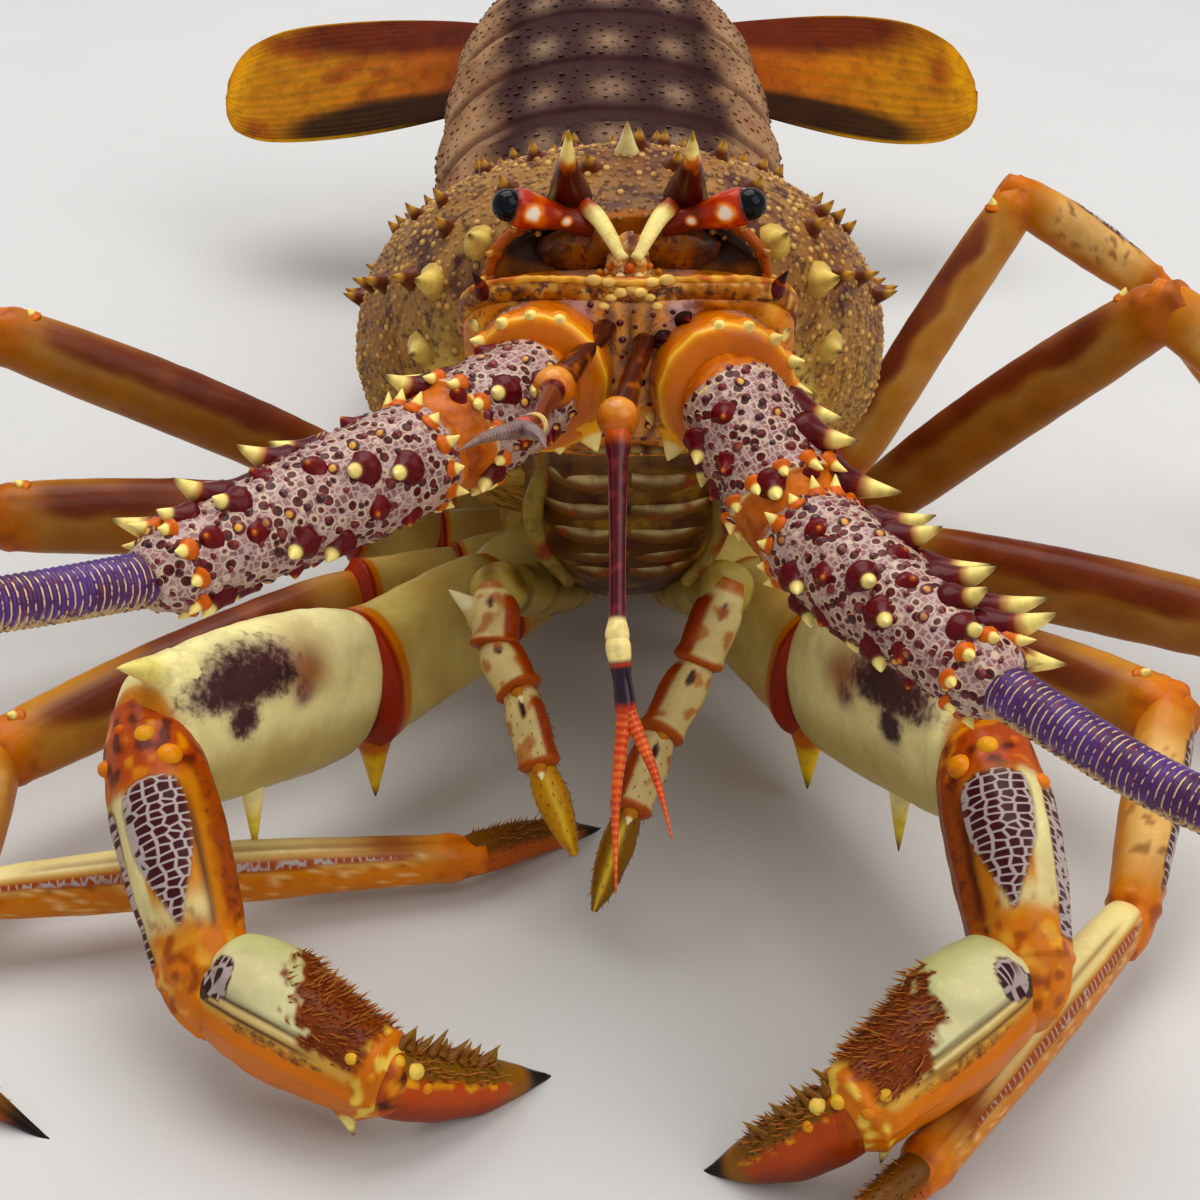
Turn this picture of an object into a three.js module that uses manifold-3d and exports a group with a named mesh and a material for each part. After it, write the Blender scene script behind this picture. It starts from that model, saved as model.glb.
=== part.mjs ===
// Spiny rock lobster, life size, standing on its ten legs.
// Millimetres, +Z up. The animal faces -Y, so its left side is at +X.
import * as THREE from 'three';
import Module from 'manifold-3d';

const wasm = await Module();
wasm.setup();

// Driving dimensions
const GAP = 0.3;                    // space between neighbouring pieces
const BODY_SIDES = 24;              // facets round the carapace
const ABDOMEN_SIDES = 18;           // facets round the abdomen
const LIMB_SIDES = 8;               // facets round a leg
const SPINE_SIDES = 4;
const ROOT_DEPTH = 0.9;             // how far a spine is sunk into what it grows from
const CORNEA_RADIUS = 2.0;
const EYE_SPACING = 29.4;           // between the two corneas
const EYE_HEIGHT = 93.2;
const HORN_BASE_RADIUS = 3.2;
const FLAGELLUM_BASE = 6.4;         // diameter where it leaves the peduncle
const FLAGELLUM_TIP = 1.1;
const FLAGELLUM_LENGTHS = 3;        // pieces that each flagellum is divided into
const SEGMENT_LENGTHS = [12, 20, 19, 18, 17, 16];
const PLATE_THICKNESS = 1.5;        // tail fan
const LARGEST_MITRE = 1.35;         // widening of a limb where it bends sharply

// Body profiles. Each row: distance from the front, half width, top, widest level, bottom
const CARAPACE = [
  [5, 17.5, 90.5, 80, 64],
  [12, 25, 92.3, 76, 53],
  [24, 32, 92.8, 68, 40],
  [40, 37.5, 88, 58, 29],
  [60, 40, 81, 49, 22],
  [80, 39.5, 74, 44, 18],
  [100, 37, 67.3, 41.5, 15.5],
  [117.7, 33, 61.5, 41, 16],
];
const CARAPACE_STEPS = 16;
const CERVICAL_GROOVE = { y: 57, width: 5, depth: 0.045 };

const HEAD_PLATE = [
  [-5.5, 15, 84.5, 76, 63],
  [-3.5, 19, 86, 77, 62],
  [0, 20.5, 84.5, 78, 61],
  [4.7, 19.5, 84, 79, 62],
];
const MOUTH = [
  [-4, 8.5, 66, 61, 56.5],
  [0, 12, 68, 58, 45],
  [9, 13.5, 68, 52, 36],
  [20, 12, 58, 42, 28.5],
  [29, 9, 44, 34, 27],
];
const STERNUM = [
  [26, 8, 44, 33, 25],
  [42, 15, 34, 26, 19],
  [62, 19, 27, 19, 13],
  [84, 21, 22, 14.5, 9],
  [104, 17, 20, 13, 8.5],
  [112, 11, 19, 13, 9.5],
];

// Centre line of the abdomen in the plane x = 0, from the carapace back
const ABDOMEN_LINE = new THREE.CatmullRomCurve3([
  new THREE.Vector3(0, 118, 42),
  new THREE.Vector3(0, 132, 44.5),
  new THREE.Vector3(0, 150, 48),
  new THREE.Vector3(0, 170, 52.5),
  new THREE.Vector3(0, 190, 55),
  new THREE.Vector3(0, 206, 53),
  new THREE.Vector3(0, 220, 47.5),
]);
// Each row: distance along that line, half width, height over it, depth under it
const ABDOMEN = [
  [0, 31.5, 19.5, 12],
  [22, 32, 20.5, 12],
  [51, 30.5, 20, 11],
  [78, 27.5, 18.5, 10],
  [104, 22.5, 14.5, 8],
];

const vec = (x, y, z) => new THREE.Vector3(x, y, z);
const degrees = THREE.MathUtils.degToRad;
const UP = vec(0, 0, 1);

// Repeatable draw between 0 and 1
function draws(seed) {
  let state = seed;
  return () => {
    state = (Math.imul(state, 1664525) + 1013904223) >>> 0;
    return state / 4294967296;
  };
}

// Smooth values between the rows of a table whose first column is the distance
function profile(rows) {
  const slopes = rows.map((row, i) => {
    const before = rows[Math.max(i - 1, 0)];
    const after = rows[Math.min(i + 1, rows.length - 1)];
    return row.map((value, k) => (after[k] - before[k]) / (after[0] - before[0]));
  });
  return at => {
    let i = 0;
    while (i < rows.length - 2 && at > rows[i + 1][0]) i += 1;
    const span = rows[i + 1][0] - rows[i][0];
    const t = (at - rows[i][0]) / span;
    const [t2, t3] = [t * t, t * t * t];
    return rows[i].map((value, k) => (2 * t3 - 3 * t2 + 1) * value
      + (t3 - 2 * t2 + t) * span * slopes[i][k]
      + (3 * t2 - 2 * t3) * rows[i + 1][k]
      + (t3 - t2) * span * slopes[i + 1][k]);
  };
}

// Closed solid through rings of points. A ring of one point is a tip.
function loft(rings) {
  const points = rings.flat();
  const starts = rings.map((ring, i) => rings.slice(0, i).flat().length);
  const triangles = [];
  for (let i = 0; i + 1 < rings.length; i += 1) {
    const [near, far] = [rings[i], rings[i + 1]];
    const sides = Math.max(near.length, far.length);
    for (let j = 0; j < sides; j += 1) {
      const k = (j + 1) % sides;
      const a = starts[i] + (j % near.length);
      const b = starts[i] + (k % near.length);
      const c = starts[i + 1] + (k % far.length);
      const d = starts[i + 1] + (j % far.length);
      if (near.length > 1) triangles.push([a, b, far.length > 1 ? c : d]);
      if (far.length > 1) triangles.push([a, c, d]);
    }
  }
  const close = (ring, start, flipped) => {
    if (ring.length === 1) return;
    const centre = ring.reduce((sum, point) => sum.add(point), vec(0, 0, 0));
    points.push(centre.divideScalar(ring.length));
    ring.forEach((point, j) => {
      const [a, b] = [start + j, start + (j + 1) % ring.length];
      triangles.push(flipped ? [points.length - 1, b, a] : [points.length - 1, a, b]);
    });
  };
  close(rings[0], 0, true);
  close(rings[rings.length - 1], starts[rings.length - 1], false);
  const volume = triangles.reduce((sum, [a, b, c]) =>
    sum + points[a].dot(points[b].clone().cross(points[c])), 0);
  if (volume < 0) triangles.forEach(triangle => triangle.reverse());
  return new wasm.Manifold(new wasm.Mesh({
    numProp: 3,
    vertProperties: new Float32Array(points.flatMap(point => point.toArray())),
    triVerts: new Uint32Array(triangles.flat()),
  }));
}

// Ring of points; power 2 is an ellipse and a larger power is boxier
function ring(sides, power, place) {
  const round = value => Math.sign(value) * Math.abs(value) ** (2 / power);
  return Array.from({ length: sides }, (_, j) => {
    const angle = 2 * Math.PI * j / sides;
    return place(round(Math.cos(angle)), round(Math.sin(angle)));
  });
}

// Cross-section of a body profile at one distance from the front
function bodyRing(at, y, sides, power, grow) {
  const [, half, top, level, bottom] = at(y);
  return ring(sides, power, (across, up) => vec(
    across * (half + grow),
    y,
    level + up * (up > 0 ? top - level + grow : level - bottom + grow),
  ));
}

function bodySolid(rows, steps, { sides = 16, power = 2.3, grow = 0 } = {}) {
  const at = profile(rows);
  const [first, last] = [rows[0][0], rows[rows.length - 1][0]];
  const rings = [];
  for (let i = 0; i <= steps; i += 1) {
    const y = first + (last - first) * i / steps;
    const shift = i === 0 ? -grow : (i === steps ? grow : 0);
    rings.push(bodyRing(at, y, sides, power, grow).map(point => point.setY(y + shift)));
  }
  return loft(rings);
}

// Straight tapering bar between two joints. Each station is [share of length, width, height]
function bar(start, end, stations, { up = UP, sides = LIMB_SIDES, power = 2, grow = 0 } = {}) {
  const along = end.clone().sub(start);
  const side = along.clone().cross(up).normalize();
  const over = side.clone().cross(along).normalize();
  const rings = stations.map(([share, width, height]) => ring(sides, power, (c, s) => start.clone()
    .addScaledVector(along, share)
    .addScaledVector(side, c * (width / 2 + grow))
    .addScaledVector(over, s * (height / 2 + grow))));
  return loft(rings);
}

// Bent bar through several joints. Each station is [joint, share of the way to the next, width, height]
function limb(joints, stations, sides = LIMB_SIDES) {
  const last = joints.length - 1;
  const heading = i => joints[Math.min(i + 1, last)].clone().sub(joints[Math.min(i, last - 1)]).normalize();
  const rings = stations.map(([joint, share, width, height]) => {
    const after = heading(joint);
    const before = share === 0 && joint > 0 ? heading(joint - 1) : after;
    const along = before.clone().add(after).normalize();
    const side = along.clone().cross(UP).normalize();
    const over = side.clone().cross(along).normalize();
    const turn = after.clone().sub(before);
    const mitre = Math.min(1 / along.dot(after), LARGEST_MITRE) - 1;
    const stretch = axis => 1 + mitre * Math.abs(turn.dot(axis)) / Math.max(turn.length(), 1e-6);
    const centre = joints[joint].clone().lerp(joints[Math.min(joint + 1, last)], share);
    return ring(sides, 2, (c, s) => centre.clone()
      .addScaledVector(side, c * width / 2 * stretch(side))
      .addScaledVector(over, s * height / 2 * stretch(over)));
  });
  return loft(rings);
}

// Round tube along a curve, from one share of its length to another
function tube(curve, from, to, steps, radiusAt, sides = 8) {
  const rings = [];
  for (let i = 0; i <= steps; i += 1) {
    const share = from + (to - from) * i / steps;
    const centre = curve.getPointAt(share);
    const along = curve.getTangentAt(share);
    const side = along.clone().cross(UP).normalize();
    const over = side.clone().cross(along);
    const radius = radiusAt(share, i);
    rings.push(ring(sides, 2, (c, s) => centre.clone()
      .addScaledVector(side, c * radius)
      .addScaledVector(over, s * radius)));
  }
  return loft(rings);
}

// Pointed cone with its root sunk below the surface it grows from
function spine(root, direction, length, radius, sides = SPINE_SIDES) {
  const along = direction.clone().normalize();
  const side = along.clone().cross(Math.abs(along.z) < 0.9 ? UP : vec(1, 0, 0)).normalize();
  const over = side.clone().cross(along);
  const foot = root.clone().addScaledVector(along, -ROOT_DEPTH);
  const base = ring(sides, 2, (c, s) => foot.clone()
    .addScaledVector(side, c * radius)
    .addScaledVector(over, s * radius));
  return loft([base, [root.clone().addScaledVector(along, length)]]);
}

const spineTo = (root, tip, radius, sides) =>
  spine(root, tip.clone().sub(root), tip.distanceTo(root), radius, sides);

// Ellipsoid with its own three radii
function egg(centre, rx, ry, rz, sides = 8, rows = 5) {
  const rings = [];
  for (let i = 0; i <= rows; i += 1) {
    const tilt = Math.PI * i / rows;
    const [height, spread] = [Math.cos(tilt) * rz, Math.sin(tilt)];
    if (i === 0 || i === rows) rings.push([centre.clone().setZ(centre.z + height)]);
    else rings.push(ring(sides, 2, (c, s) => vec(
      centre.x + c * rx * spread, centre.y + s * ry * spread, centre.z + height)));
  }
  return loft(rings);
}

const join = solids => solids.reduce((sum, solid) => sum.add(solid));
const cut = (solid, blockers) => blockers.reduce((rest, blocker) => rest.subtract(blocker), solid);

// Keep the part on the side that the normal points to, half a gap away from the plane
function beyond(solid, point, normal) {
  const n = normal.clone().normalize();
  return solid.trimByPlane(n.toArray(), n.dot(point) + GAP / 2);
}

const largest = solid => solid.decompose()
  .reduce((best, piece) => (piece.volume() > best.volume() ? piece : best));

const bend = (before, joint, after) => joint.clone().sub(before).normalize()
  .add(after.clone().sub(joint).normalize())
  .normalize();

// Finishes
const FINISHES = {
  shell: [0x7a5238, 0.55],
  abdomen: [0x5c3a40, 0.5],
  orange: [0xc8752c, 0.42],
  peduncle: [0x8d6a70, 0.5],
  flagellum: [0x4f3b78, 0.4],
  leg: [0xd2bd84, 0.45],
  fan: [0xc98f2e, 0.5],
  eye: [0x0c0d12, 0.08],
  mouthparts: [0xcfc49a, 0.5],
};
const materials = Object.fromEntries(Object.entries(FINISHES).map(([name, [color, roughness]]) =>
  [name, new THREE.MeshStandardMaterial({ name, color, roughness, metalness: 0 })]));

function mesh(name, solid, finish) {
  const { vertProperties, triVerts } = largest(solid).getMesh();
  const geometry = new THREE.BufferGeometry();
  geometry.setAttribute('position', new THREE.BufferAttribute(vertProperties, 3));
  geometry.setIndex(new THREE.BufferAttribute(triVerts, 1));
  geometry.computeVertexNormals();
  const result = new THREE.Mesh(geometry, materials[finish]);
  result.name = name;
  return result;
}

const SIDES = [['left', 1], ['right', -1]];

// Point and outward normal on a body profile, at an angle round it from the left side over the top
function onBody(rows, y, angle) {
  const at = profile(rows);
  const place = (yy, a) => {
    const [, half, top, level, bottom] = at(yy);
    const rise = Math.sin(a) > 0 ? top - level : level - bottom;
    return vec(half * Math.cos(a), yy, level + rise * Math.sin(a));
  };
  const step = 0.01;
  const point = place(y, angle);
  const round = place(y, angle + step).sub(place(y, angle - step));
  const back = place(y + step, angle).sub(place(y - step, angle));
  return { point, normal: back.cross(round).normalize() };
}

// Carapace, with its horns, rostrum and rows of forward-leaning spines
function carapaceShell(grow = 0) {
  const at = profile(CARAPACE);
  const [first, last] = [CARAPACE[0][0], CARAPACE[CARAPACE.length - 1][0]];
  const rings = [];
  for (let i = 0; i <= CARAPACE_STEPS; i += 1) {
    const y = first + (last - first) * i / CARAPACE_STEPS;
    const away = (y - CERVICAL_GROOVE.y) / CERVICAL_GROOVE.width;
    const groove = 1 - CERVICAL_GROOVE.depth * Math.exp(-away * away);
    const [, , , level] = at(y);
    rings.push(bodyRing(at, y, BODY_SIDES, 2.1, grow).map(point => vec(
      point.x * (point.z > level ? groove : 1),
      point.y + (i === 0 ? -grow : (i === CARAPACE_STEPS ? grow : 0)),
      point.z > level ? level + (point.z - level) * groove : point.z,
    )));
  }
  return loft(rings);
}

function horn(side, grow = 0) {
  const root = vec(side * 7, 10, 89);
  const knee = vec(side * 7.6, 2.5, 97);
  const tip = vec(side * 7.3, -2.2, 103.8);
  const toTip = tip.clone().sub(root);
  const rings = [[root, HORN_BASE_RADIUS], [knee, HORN_BASE_RADIUS * 0.55]].map(([centre, radius]) => {
    const across = toTip.clone().cross(vec(1, 0, 0)).normalize();
    return ring(7, 2, (c, s) => centre.clone().add(vec(c * (radius + grow), 0, 0))
      .addScaledVector(across, s * (radius + grow)));
  });
  return loft([...rings, [tip]]);
}

// One arm of the V that runs down to the tip of the rostrum
function rostrumRidge(side, grow = 0) {
  return spineTo(vec(side * 4.4, 6, 90.2), vec(side * 0.7, -0.6 - grow, 88.4), 1.3 + grow, 6);
}

function carapaceSpines() {
  const draw = draws(11);
  const spines = [];
  for (let y = 17; y < 112; y += 9.2) {
    const ahead = 1 - (y - 17) / 95;
    const count = 7 + (Math.round(y) % 2);
    for (let i = 0; i < count; i += 1) {
      const angle = degrees(6 + 168 * (i + 0.5) / count + 7 * (draw() - 0.5));
      const { point, normal } = onBody(CARAPACE, y + 3 * (draw() - 0.5), angle);
      const lean = normal.add(vec(0, -0.75, 0.1));
      const out = 1 - Math.abs(Math.sin(angle));
      spines.push(spine(point, lean, 1.7 + 1.2 * ahead + 1.6 * out + 0.6 * draw(), 1.2 + 0.4 * ahead));
    }
  }
  for (const [, side] of SIDES) {
    for (const [y, angle, length] of [[9, 34, 5.2], [12, 12, 6], [15, -12, 4.2], [10, 55, 4.2]]) {
      const { point, normal } = onBody(CARAPACE, y, degrees(side > 0 ? angle : 180 - angle));
      spines.push(spine(point, normal.add(vec(0, -1.3, 0.25)), length, 1.5));
    }
    spines.push(rostrumRidge(side));
  }
  spines.push(spineTo(vec(0.2, 23, 92), vec(0.2, 19.5, 97.3), 1.4));
  return spines;
}

function carapace() {
  const horns = SIDES.map(([, side]) => horn(side));
  return join([carapaceShell(), ...horns, ...carapaceSpines()]);
}

// Front of the head between and under the eyes
function headPlate(grow = 0) {
  return bodySolid(HEAD_PLATE, 5, { sides: 18, power: 2.8, grow });
}

function headPlateDetails(blockers) {
  const pieces = [];
  const draw = draws(5);
  for (const [, side] of SIDES) {
    pieces.push(spine(vec(side * 3.6, -4.6, 85.2), vec(side * 0.2, -0.7, 0.7), 1.7, 1.1));
    pieces.push(spine(vec(side * 2.9, -5, 72.5), vec(side * 0.2, -1, -0.1), 3.6, 1.1));
  }
  for (let row = 0; row < 3; row += 1) {
    for (const x of [-2.6, 0, 2.6]) {
      const root = vec(x + draw() - 0.5, -5.2, 81 - 2.9 * row);
      pieces.push(spine(root, vec(0, -1, 0.1), 1.1, 0.9));
    }
  }
  return cut(join(pieces), blockers);
}

const mouthBlock = grow => bodySolid(MOUTH, 5, { sides: 12, power: 2.5, grow });
const sternumBlock = grow => bodySolid(STERNUM, 5, { sides: 12, power: 3, grow });

// Three pairs of flat mouth plates, one over the other
function mouthPlates() {
  const plates = [];
  for (let row = 0; row < 3; row += 1) {
    for (const [, side] of SIDES) {
      const root = vec(side * 0.8, -0.5 + 1.6 * row, 52.5 - 3.6 * row);
      const end = vec(side * (9.5 - row), 1 + 1.6 * row, 52.5 - 3.6 * row);
      plates.push(bar(root, end, [[0, 4, 2], [0.5, 5, 2.6], [1, 3, 1.6]], { sides: 6 }));
    }
  }
  return plates;
}

// Abdomen
const abdomenAt = profile(ABDOMEN);
const abdomenLength = ABDOMEN_LINE.getLength();

function abdomenRing(distance, factor, grow = 0) {
  const share = THREE.MathUtils.clamp(distance / abdomenLength, 0, 1);
  const centre = ABDOMEN_LINE.getPointAt(share);
  const along = ABDOMEN_LINE.getTangentAt(share);
  centre.addScaledVector(along, distance - share * abdomenLength);
  const over = vec(1, 0, 0).cross(along).normalize();
  const [, half, rise, depth] = abdomenAt(distance);
  return ring(ABDOMEN_SIDES, 2.15, (across, up) => centre.clone()
    .addScaledVector(vec(1, 0, 0), across * (half * factor + grow))
    .addScaledVector(over, up * (up > 0 ? rise * factor + grow : depth + grow)));
}

function abdomenSegment(index) {
  const start = SEGMENT_LENGTHS.slice(0, index).reduce((sum, length) => sum + length, 0) + 0.2;
  const length = SEGMENT_LENGTHS[index];
  const rows = [[0, 0.95], [0.18, 0.985], [0.8, 1.01], [1, 0.99]];
  const rings = rows.map(([share, factor]) =>
    abdomenRing(start + GAP / 2 + (length - GAP) * share, factor));
  const pieces = [loft(rings)];
  const middle = start + length * 0.55;
  const [, half, , depth] = abdomenAt(middle);
  const centre = ABDOMEN_LINE.getPointAt(Math.min(middle / abdomenLength, 1));
  for (const [, side] of index < 5 ? SIDES : []) {
    const root = centre.clone().add(vec(side * (half - 3.2), -1, -depth * 0.35));
    const tip = centre.clone().add(vec(side * (half - 1.5), 5, -depth - 7 + index * 0.5));
    pieces.push(bar(root, tip, [[0, 5, 9], [0.5, 3.2, 7.5], [0.85, 1.8, 4], [1.05, 0.7, 1]], {
      up: vec(0, 1, 0), sides: 6,
    }));
    if (index > 0) pieces.push(pleopod(centre, side, half, depth));
  }
  return join(pieces);
}

// Leaf-shaped swimmeret under a segment
function pleopod(centre, side, half, depth) {
  const root = centre.clone().add(vec(side * (half - 11), 0, -depth + 1.5));
  const tip = centre.clone().add(vec(side * (half - 14), 11, -depth - 7));
  const stations = [[0, 3, 1.4], [0.35, 6.5, 1.3], [0.8, 6, 1.1], [1, 2.5, 0.9]];
  return bar(root, tip, stations, { sides: 6 });
}

// Leaf-shaped plate of the tail fan, from its root to its rounded end
function fanPlate(root, tip, chord, tilt, grow = 0) {
  const along = tip.clone().sub(root).normalize();
  const up = UP.clone().applyAxisAngle(along, degrees(tilt));
  const stations = [[0, 0.36], [0.12, 0.62], [0.35, 0.86], [0.6, 1], [0.82, 0.96], [0.94, 0.72], [1, 0.4]]
    .map(([share, width], i, all) => [
      share + (i === 0 ? -grow / 40 : (i === all.length - 1 ? grow / 40 : 0)),
      chord * width,
      PLATE_THICKNESS * (1.5 - 0.7 * share),
    ]);
  return bar(root, tip, stations, { up, sides: 8, power: 2.6, grow });
}

const telson = grow => fanPlate(vec(0, 217, 47.5), vec(0, 259, 38), 29, 0, grow);
const innerUropod = (side, grow) =>
  fanPlate(vec(side * 9, 214, 46), vec(side * 36, 250, 36), 25, side * 12, grow);
const outerUropod = (side, grow) =>
  fanPlate(vec(side * 15, 216, 49), vec(side * 84, 231, 38), 34, side * 34, grow);

// Each leg: joints from the body out, on the left side first, then on the right
const LEGS = {
  leg1: {
    left: [vec(11, 37, 25), vec(18, 28, 22), vec(27.6, 10.5, 20.6), vec(43.2, -28, 33),
      vec(44.6, -55, 20.4), vec(23.4, -69, 12.2), vec(8.4, -65, 0)],
    right: [vec(-11, 37, 25), vec(-19.5, 28.5, 22), vec(-37.5, 7.7, 21.7), vec(-60.1, -24, 32.8),
      vec(-50.9, -48, 14.6), vec(-29.2, -60, 9.9), vec(-11.1, -49.1, 0)],
  },
  leg2: {
    left: [vec(14, 49, 18), vec(24, 45, 15.5), vec(37, 38, 13), vec(72.9, -5, 23.4),
      vec(64.5, -29, 8.8), vec(31.5, -71, 5.6), vec(15, -86, 0)],
    right: [vec(-14, 49, 18), vec(-25, 46, 17), vec(-40, 38, 18), vec(-86, -4, 17),
      vec(-87, -25, 9.8), vec(-22, -11.2, 5.3), vec(-4.2, 2.1, 0)],
  },
  leg3: {
    left: [vec(17, 62, 14.5), vec(29, 60, 14.5), vec(43, 54, 16), vec(95, 21, 20),
      vec(117, 4, 25), vec(128, -38, 9), vec(122, -52, 0)],
    right: [vec(-17, 62, 14.5), vec(-29, 60, 15.5), vec(-42, 57, 20), vec(-94, 40, 31),
      vec(-121, 14, 26), vec(-98, -44, 8), vec(-70.5, -58.1, 0)],
  },
  leg4: {
    left: [vec(18, 77, 12.5), vec(29, 75, 13.5), vec(42, 70, 16), vec(80.4, 48, 60.5),
      vec(101, 40, 46), vec(120, 26, 12), vec(128, 21, 0)],
    right: [vec(-18, 77, 12.5), vec(-29, 75, 14), vec(-42, 71, 21), vec(-97, 66, 50),
      vec(-121, 66, 40), vec(-146, 70, 12), vec(-152, 69, 0)],
  },
  leg5: {
    left: [vec(17, 91, 12), vec(28, 88, 13.5), vec(40, 82, 18), vec(67.4, 95, 60.7),
      vec(90, 91, 46.5), vec(117, 90, 13), vec(124, 91, 0)],
    right: [vec(-17, 91, 12), vec(-27, 94, 13), vec(-36, 99, 15), vec(-38.5, 124, 34),
      vec(-43, 146, 25), vec(-44, 163, 8), vec(-43.5, 171, 0)],
  },
};

// Width and height of a leg's segments, coxa to dactyl
const LEG_SIZES = {
  leg1: [[13, 15], [14, 20], [14, 25], [13.5, 15], [12.5, 15.5], [7.5, 9]],
  leg2: [[10, 11], [9.5, 11], [9, 12.5], [8.5, 9.5], [7.5, 8.5], [5, 6]],
  leg3: [[10, 10.5], [9, 10.5], [9, 13], [8.5, 9.5], [7.5, 8.5], [5, 6]],
  leg4: [[9, 9.5], [8.5, 10], [8, 12], [8, 9], [7, 8], [5, 5.5]],
  leg5: [[8.5, 9], [8, 9], [7, 10], [7, 8], [6, 7], [4.5, 5]],
};

// Stations of the leg segments: [joint, share of the way to the next, width factor, height factor].
// The factors are of the segment that the station lies on.
const UPPER_STATIONS = [[0, -0.2, 1, 1], [1, 0, 1, 0.95], [2, 0, 0.85, 0.75], [2, 0.14, 0.95, 0.93],
  [2, 0.5, 1, 1], [2, 0.9, 1, 0.98], [2, 1.0, 0.95, 0.85], [2, 1.1, 0.6, 0.5]];
const LOWER_STATIONS = [[3, -0.14, 0.6, 0.55], [3, 0.04, 0.95, 0.92], [3, 0.7, 1, 1], [4, 0, 0.95, 0.95],
  [4, 0.2, 1, 1], [4, 0.85, 0.85, 0.84], [5, 0, 1, 1], [5, 0.45, 0.8, 0.75], [5, 1.06, 0.3, 0.3]];
const CARPUS_STATIONS = [[3, -0.16, 0.6, 0.55], [3, 0.02, 0.95, 0.92], [3, 0.35, 1, 1], [3, 0.75, 1, 1.02],
  [3, 1.0, 0.94, 0.92], [3, 1.14, 0.6, 0.55]];
const PROPODUS_STATIONS = [[4, -0.16, 0.55, 0.5], [4, 0.02, 0.92, 0.92], [4, 0.3, 1, 1], [4, 0.65, 0.95, 0.9],
  [4, 0.92, 0.78, 0.7], [4, 1.1, 0.5, 0.42]];
const DACTYL_STATIONS = [[5, -0.14, 0.72, 0.7], [5, 0.1, 1, 1], [5, 0.45, 0.92, 0.92], [5, 0.74, 0.66, 0.66],
  [5, 0.88, 0.36, 0.38], [5, 1.06, 0.24, 0.26]];

function legPart(kind, joints, stations) {
  return limb(joints, stations.map(([joint, share, width, height]) => {
    const [fullWidth, fullHeight] = LEG_SIZES[kind][joint];
    return [joint, share, width * fullWidth, height * fullHeight];
  }));
}

// Spines at the far ends of the leg segments
function legSpines(kind, joints) {
  const big = kind === 'leg1';
  const length = big ? 9 : 3.4;
  const [, , hip, knee, wrist, hand] = joints;
  const [, meralHeight] = LEG_SIZES[kind][2];
  const meral = knee.clone().sub(hip).normalize();
  const over = meral.clone().cross(UP).normalize().cross(meral);
  const nearKnee = hip.clone().lerp(knee, 0.93).addScaledVector(over, 0.36 * meralHeight);
  const underMerus = hip.clone().lerp(knee, 0.56).addScaledVector(over, -0.44 * meralHeight);
  const spines = {
    upper: [spine(nearKnee, meral.clone().addScaledVector(over, 0.9), length * 0.45, big ? 2 : 1.3)],
    carpus: [],
    propodus: [],
  };
  if (big) {
    spines.upper.push(spine(underMerus, over.clone().negate(), length, 2.4, 7));
    const ischial = joints[1].clone().lerp(hip, 0.85).add(vec(0, 0, -8.4));
    spines.upper.push(spine(ischial, vec(0, -0.15, -1), length * 0.9, 2, 7));
    const inner = wrist.clone().lerp(hand, 0.75).add(vec(0, -1, -5.4));
    spines.propodus.push(spine(inner, vec(hand.x > 0 ? -0.3 : 0.3, -0.6, -0.7), 4.5, 1.7));
  }
  for (const share of [0.15, 0.5]) {
    const root = knee.clone().lerp(wrist, share).addScaledVector(over, 0.36 * LEG_SIZES[kind][3][1]);
    spines.carpus.push(spine(root, over.clone().add(meral), length * 0.28, big ? 1.5 : 1));
  }
  return spines;
}

// Rows of bristle tufts on the far part of a front leg
function bristles(start, end, height, count, seed) {
  const draw = draws(seed);
  const along = end.clone().sub(start).normalize();
  const over = along.clone().cross(UP).normalize().cross(along);
  return Array.from({ length: count }, (_, i) => {
    const share = (i + 0.5) / count;
    const root = start.clone().lerp(end, share)
      .addScaledVector(over, height * (1 - 0.4 * share))
      .add(vec(0, (draw() - 0.5) * 3, 0));
    const lie = over.clone().addScaledVector(along, 0.6 + 0.3 * draw());
    return spine(root, lie, 2 + draw(), 0.75, 4);
  });
}

const onFloor = solid => solid.trimByPlane([0, 0, 1], 0);

function frontLeg(side, blockers) {
  const joints = LEGS.leg1[side];
  const part = stations => legPart('leg1', joints, stations);
  const spines = legSpines('leg1', joints);
  const [, , , knee, wrist, hand, toe] = joints;
  const kneeNormal = bend(joints[2], knee, wrist);
  const wristNormal = bend(knee, wrist, hand);
  const handNormal = bend(wrist, hand, toe);
  const back = normal => normal.clone().negate();
  const upper = cut(beyond(join([part(UPPER_STATIONS), ...spines.upper]), knee, back(kneeNormal)), blockers);
  const tuftStart = wrist.clone().lerp(hand, 0.45);
  const tuftEnd = hand.clone().lerp(toe, 0.75);
  return {
    upper,
    carpus: beyond(beyond(join([part(CARPUS_STATIONS), ...spines.carpus]), knee, kneeNormal),
      wrist, back(wristNormal)),
    propodus: beyond(beyond(join([part(PROPODUS_STATIONS), ...spines.propodus,
      ...bristles(tuftStart, hand, 6.6, 7, 21)]), wrist, wristNormal), hand, back(handNormal)),
    dactyl: onFloor(beyond(join([part(DACTYL_STATIONS),
      ...bristles(hand.clone().lerp(toe, 0.12), tuftEnd, 3.8, 7, 22)]), hand, handNormal)),
  };
}

function walkingLeg(kind, side, blockers) {
  const joints = LEGS[kind][side];
  const spines = legSpines(kind, joints);
  const kneeNormal = bend(joints[2], joints[3], joints[4]);
  const upper = join([legPart(kind, joints, UPPER_STATIONS), ...spines.upper]);
  const lower = join([legPart(kind, joints, LOWER_STATIONS), ...spines.carpus]);
  return {
    upper: cut(beyond(upper, joints[3], kneeNormal.clone().negate()), blockers),
    lower: onFloor(beyond(lower, joints[3], kneeNormal)),
  };
}

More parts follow.
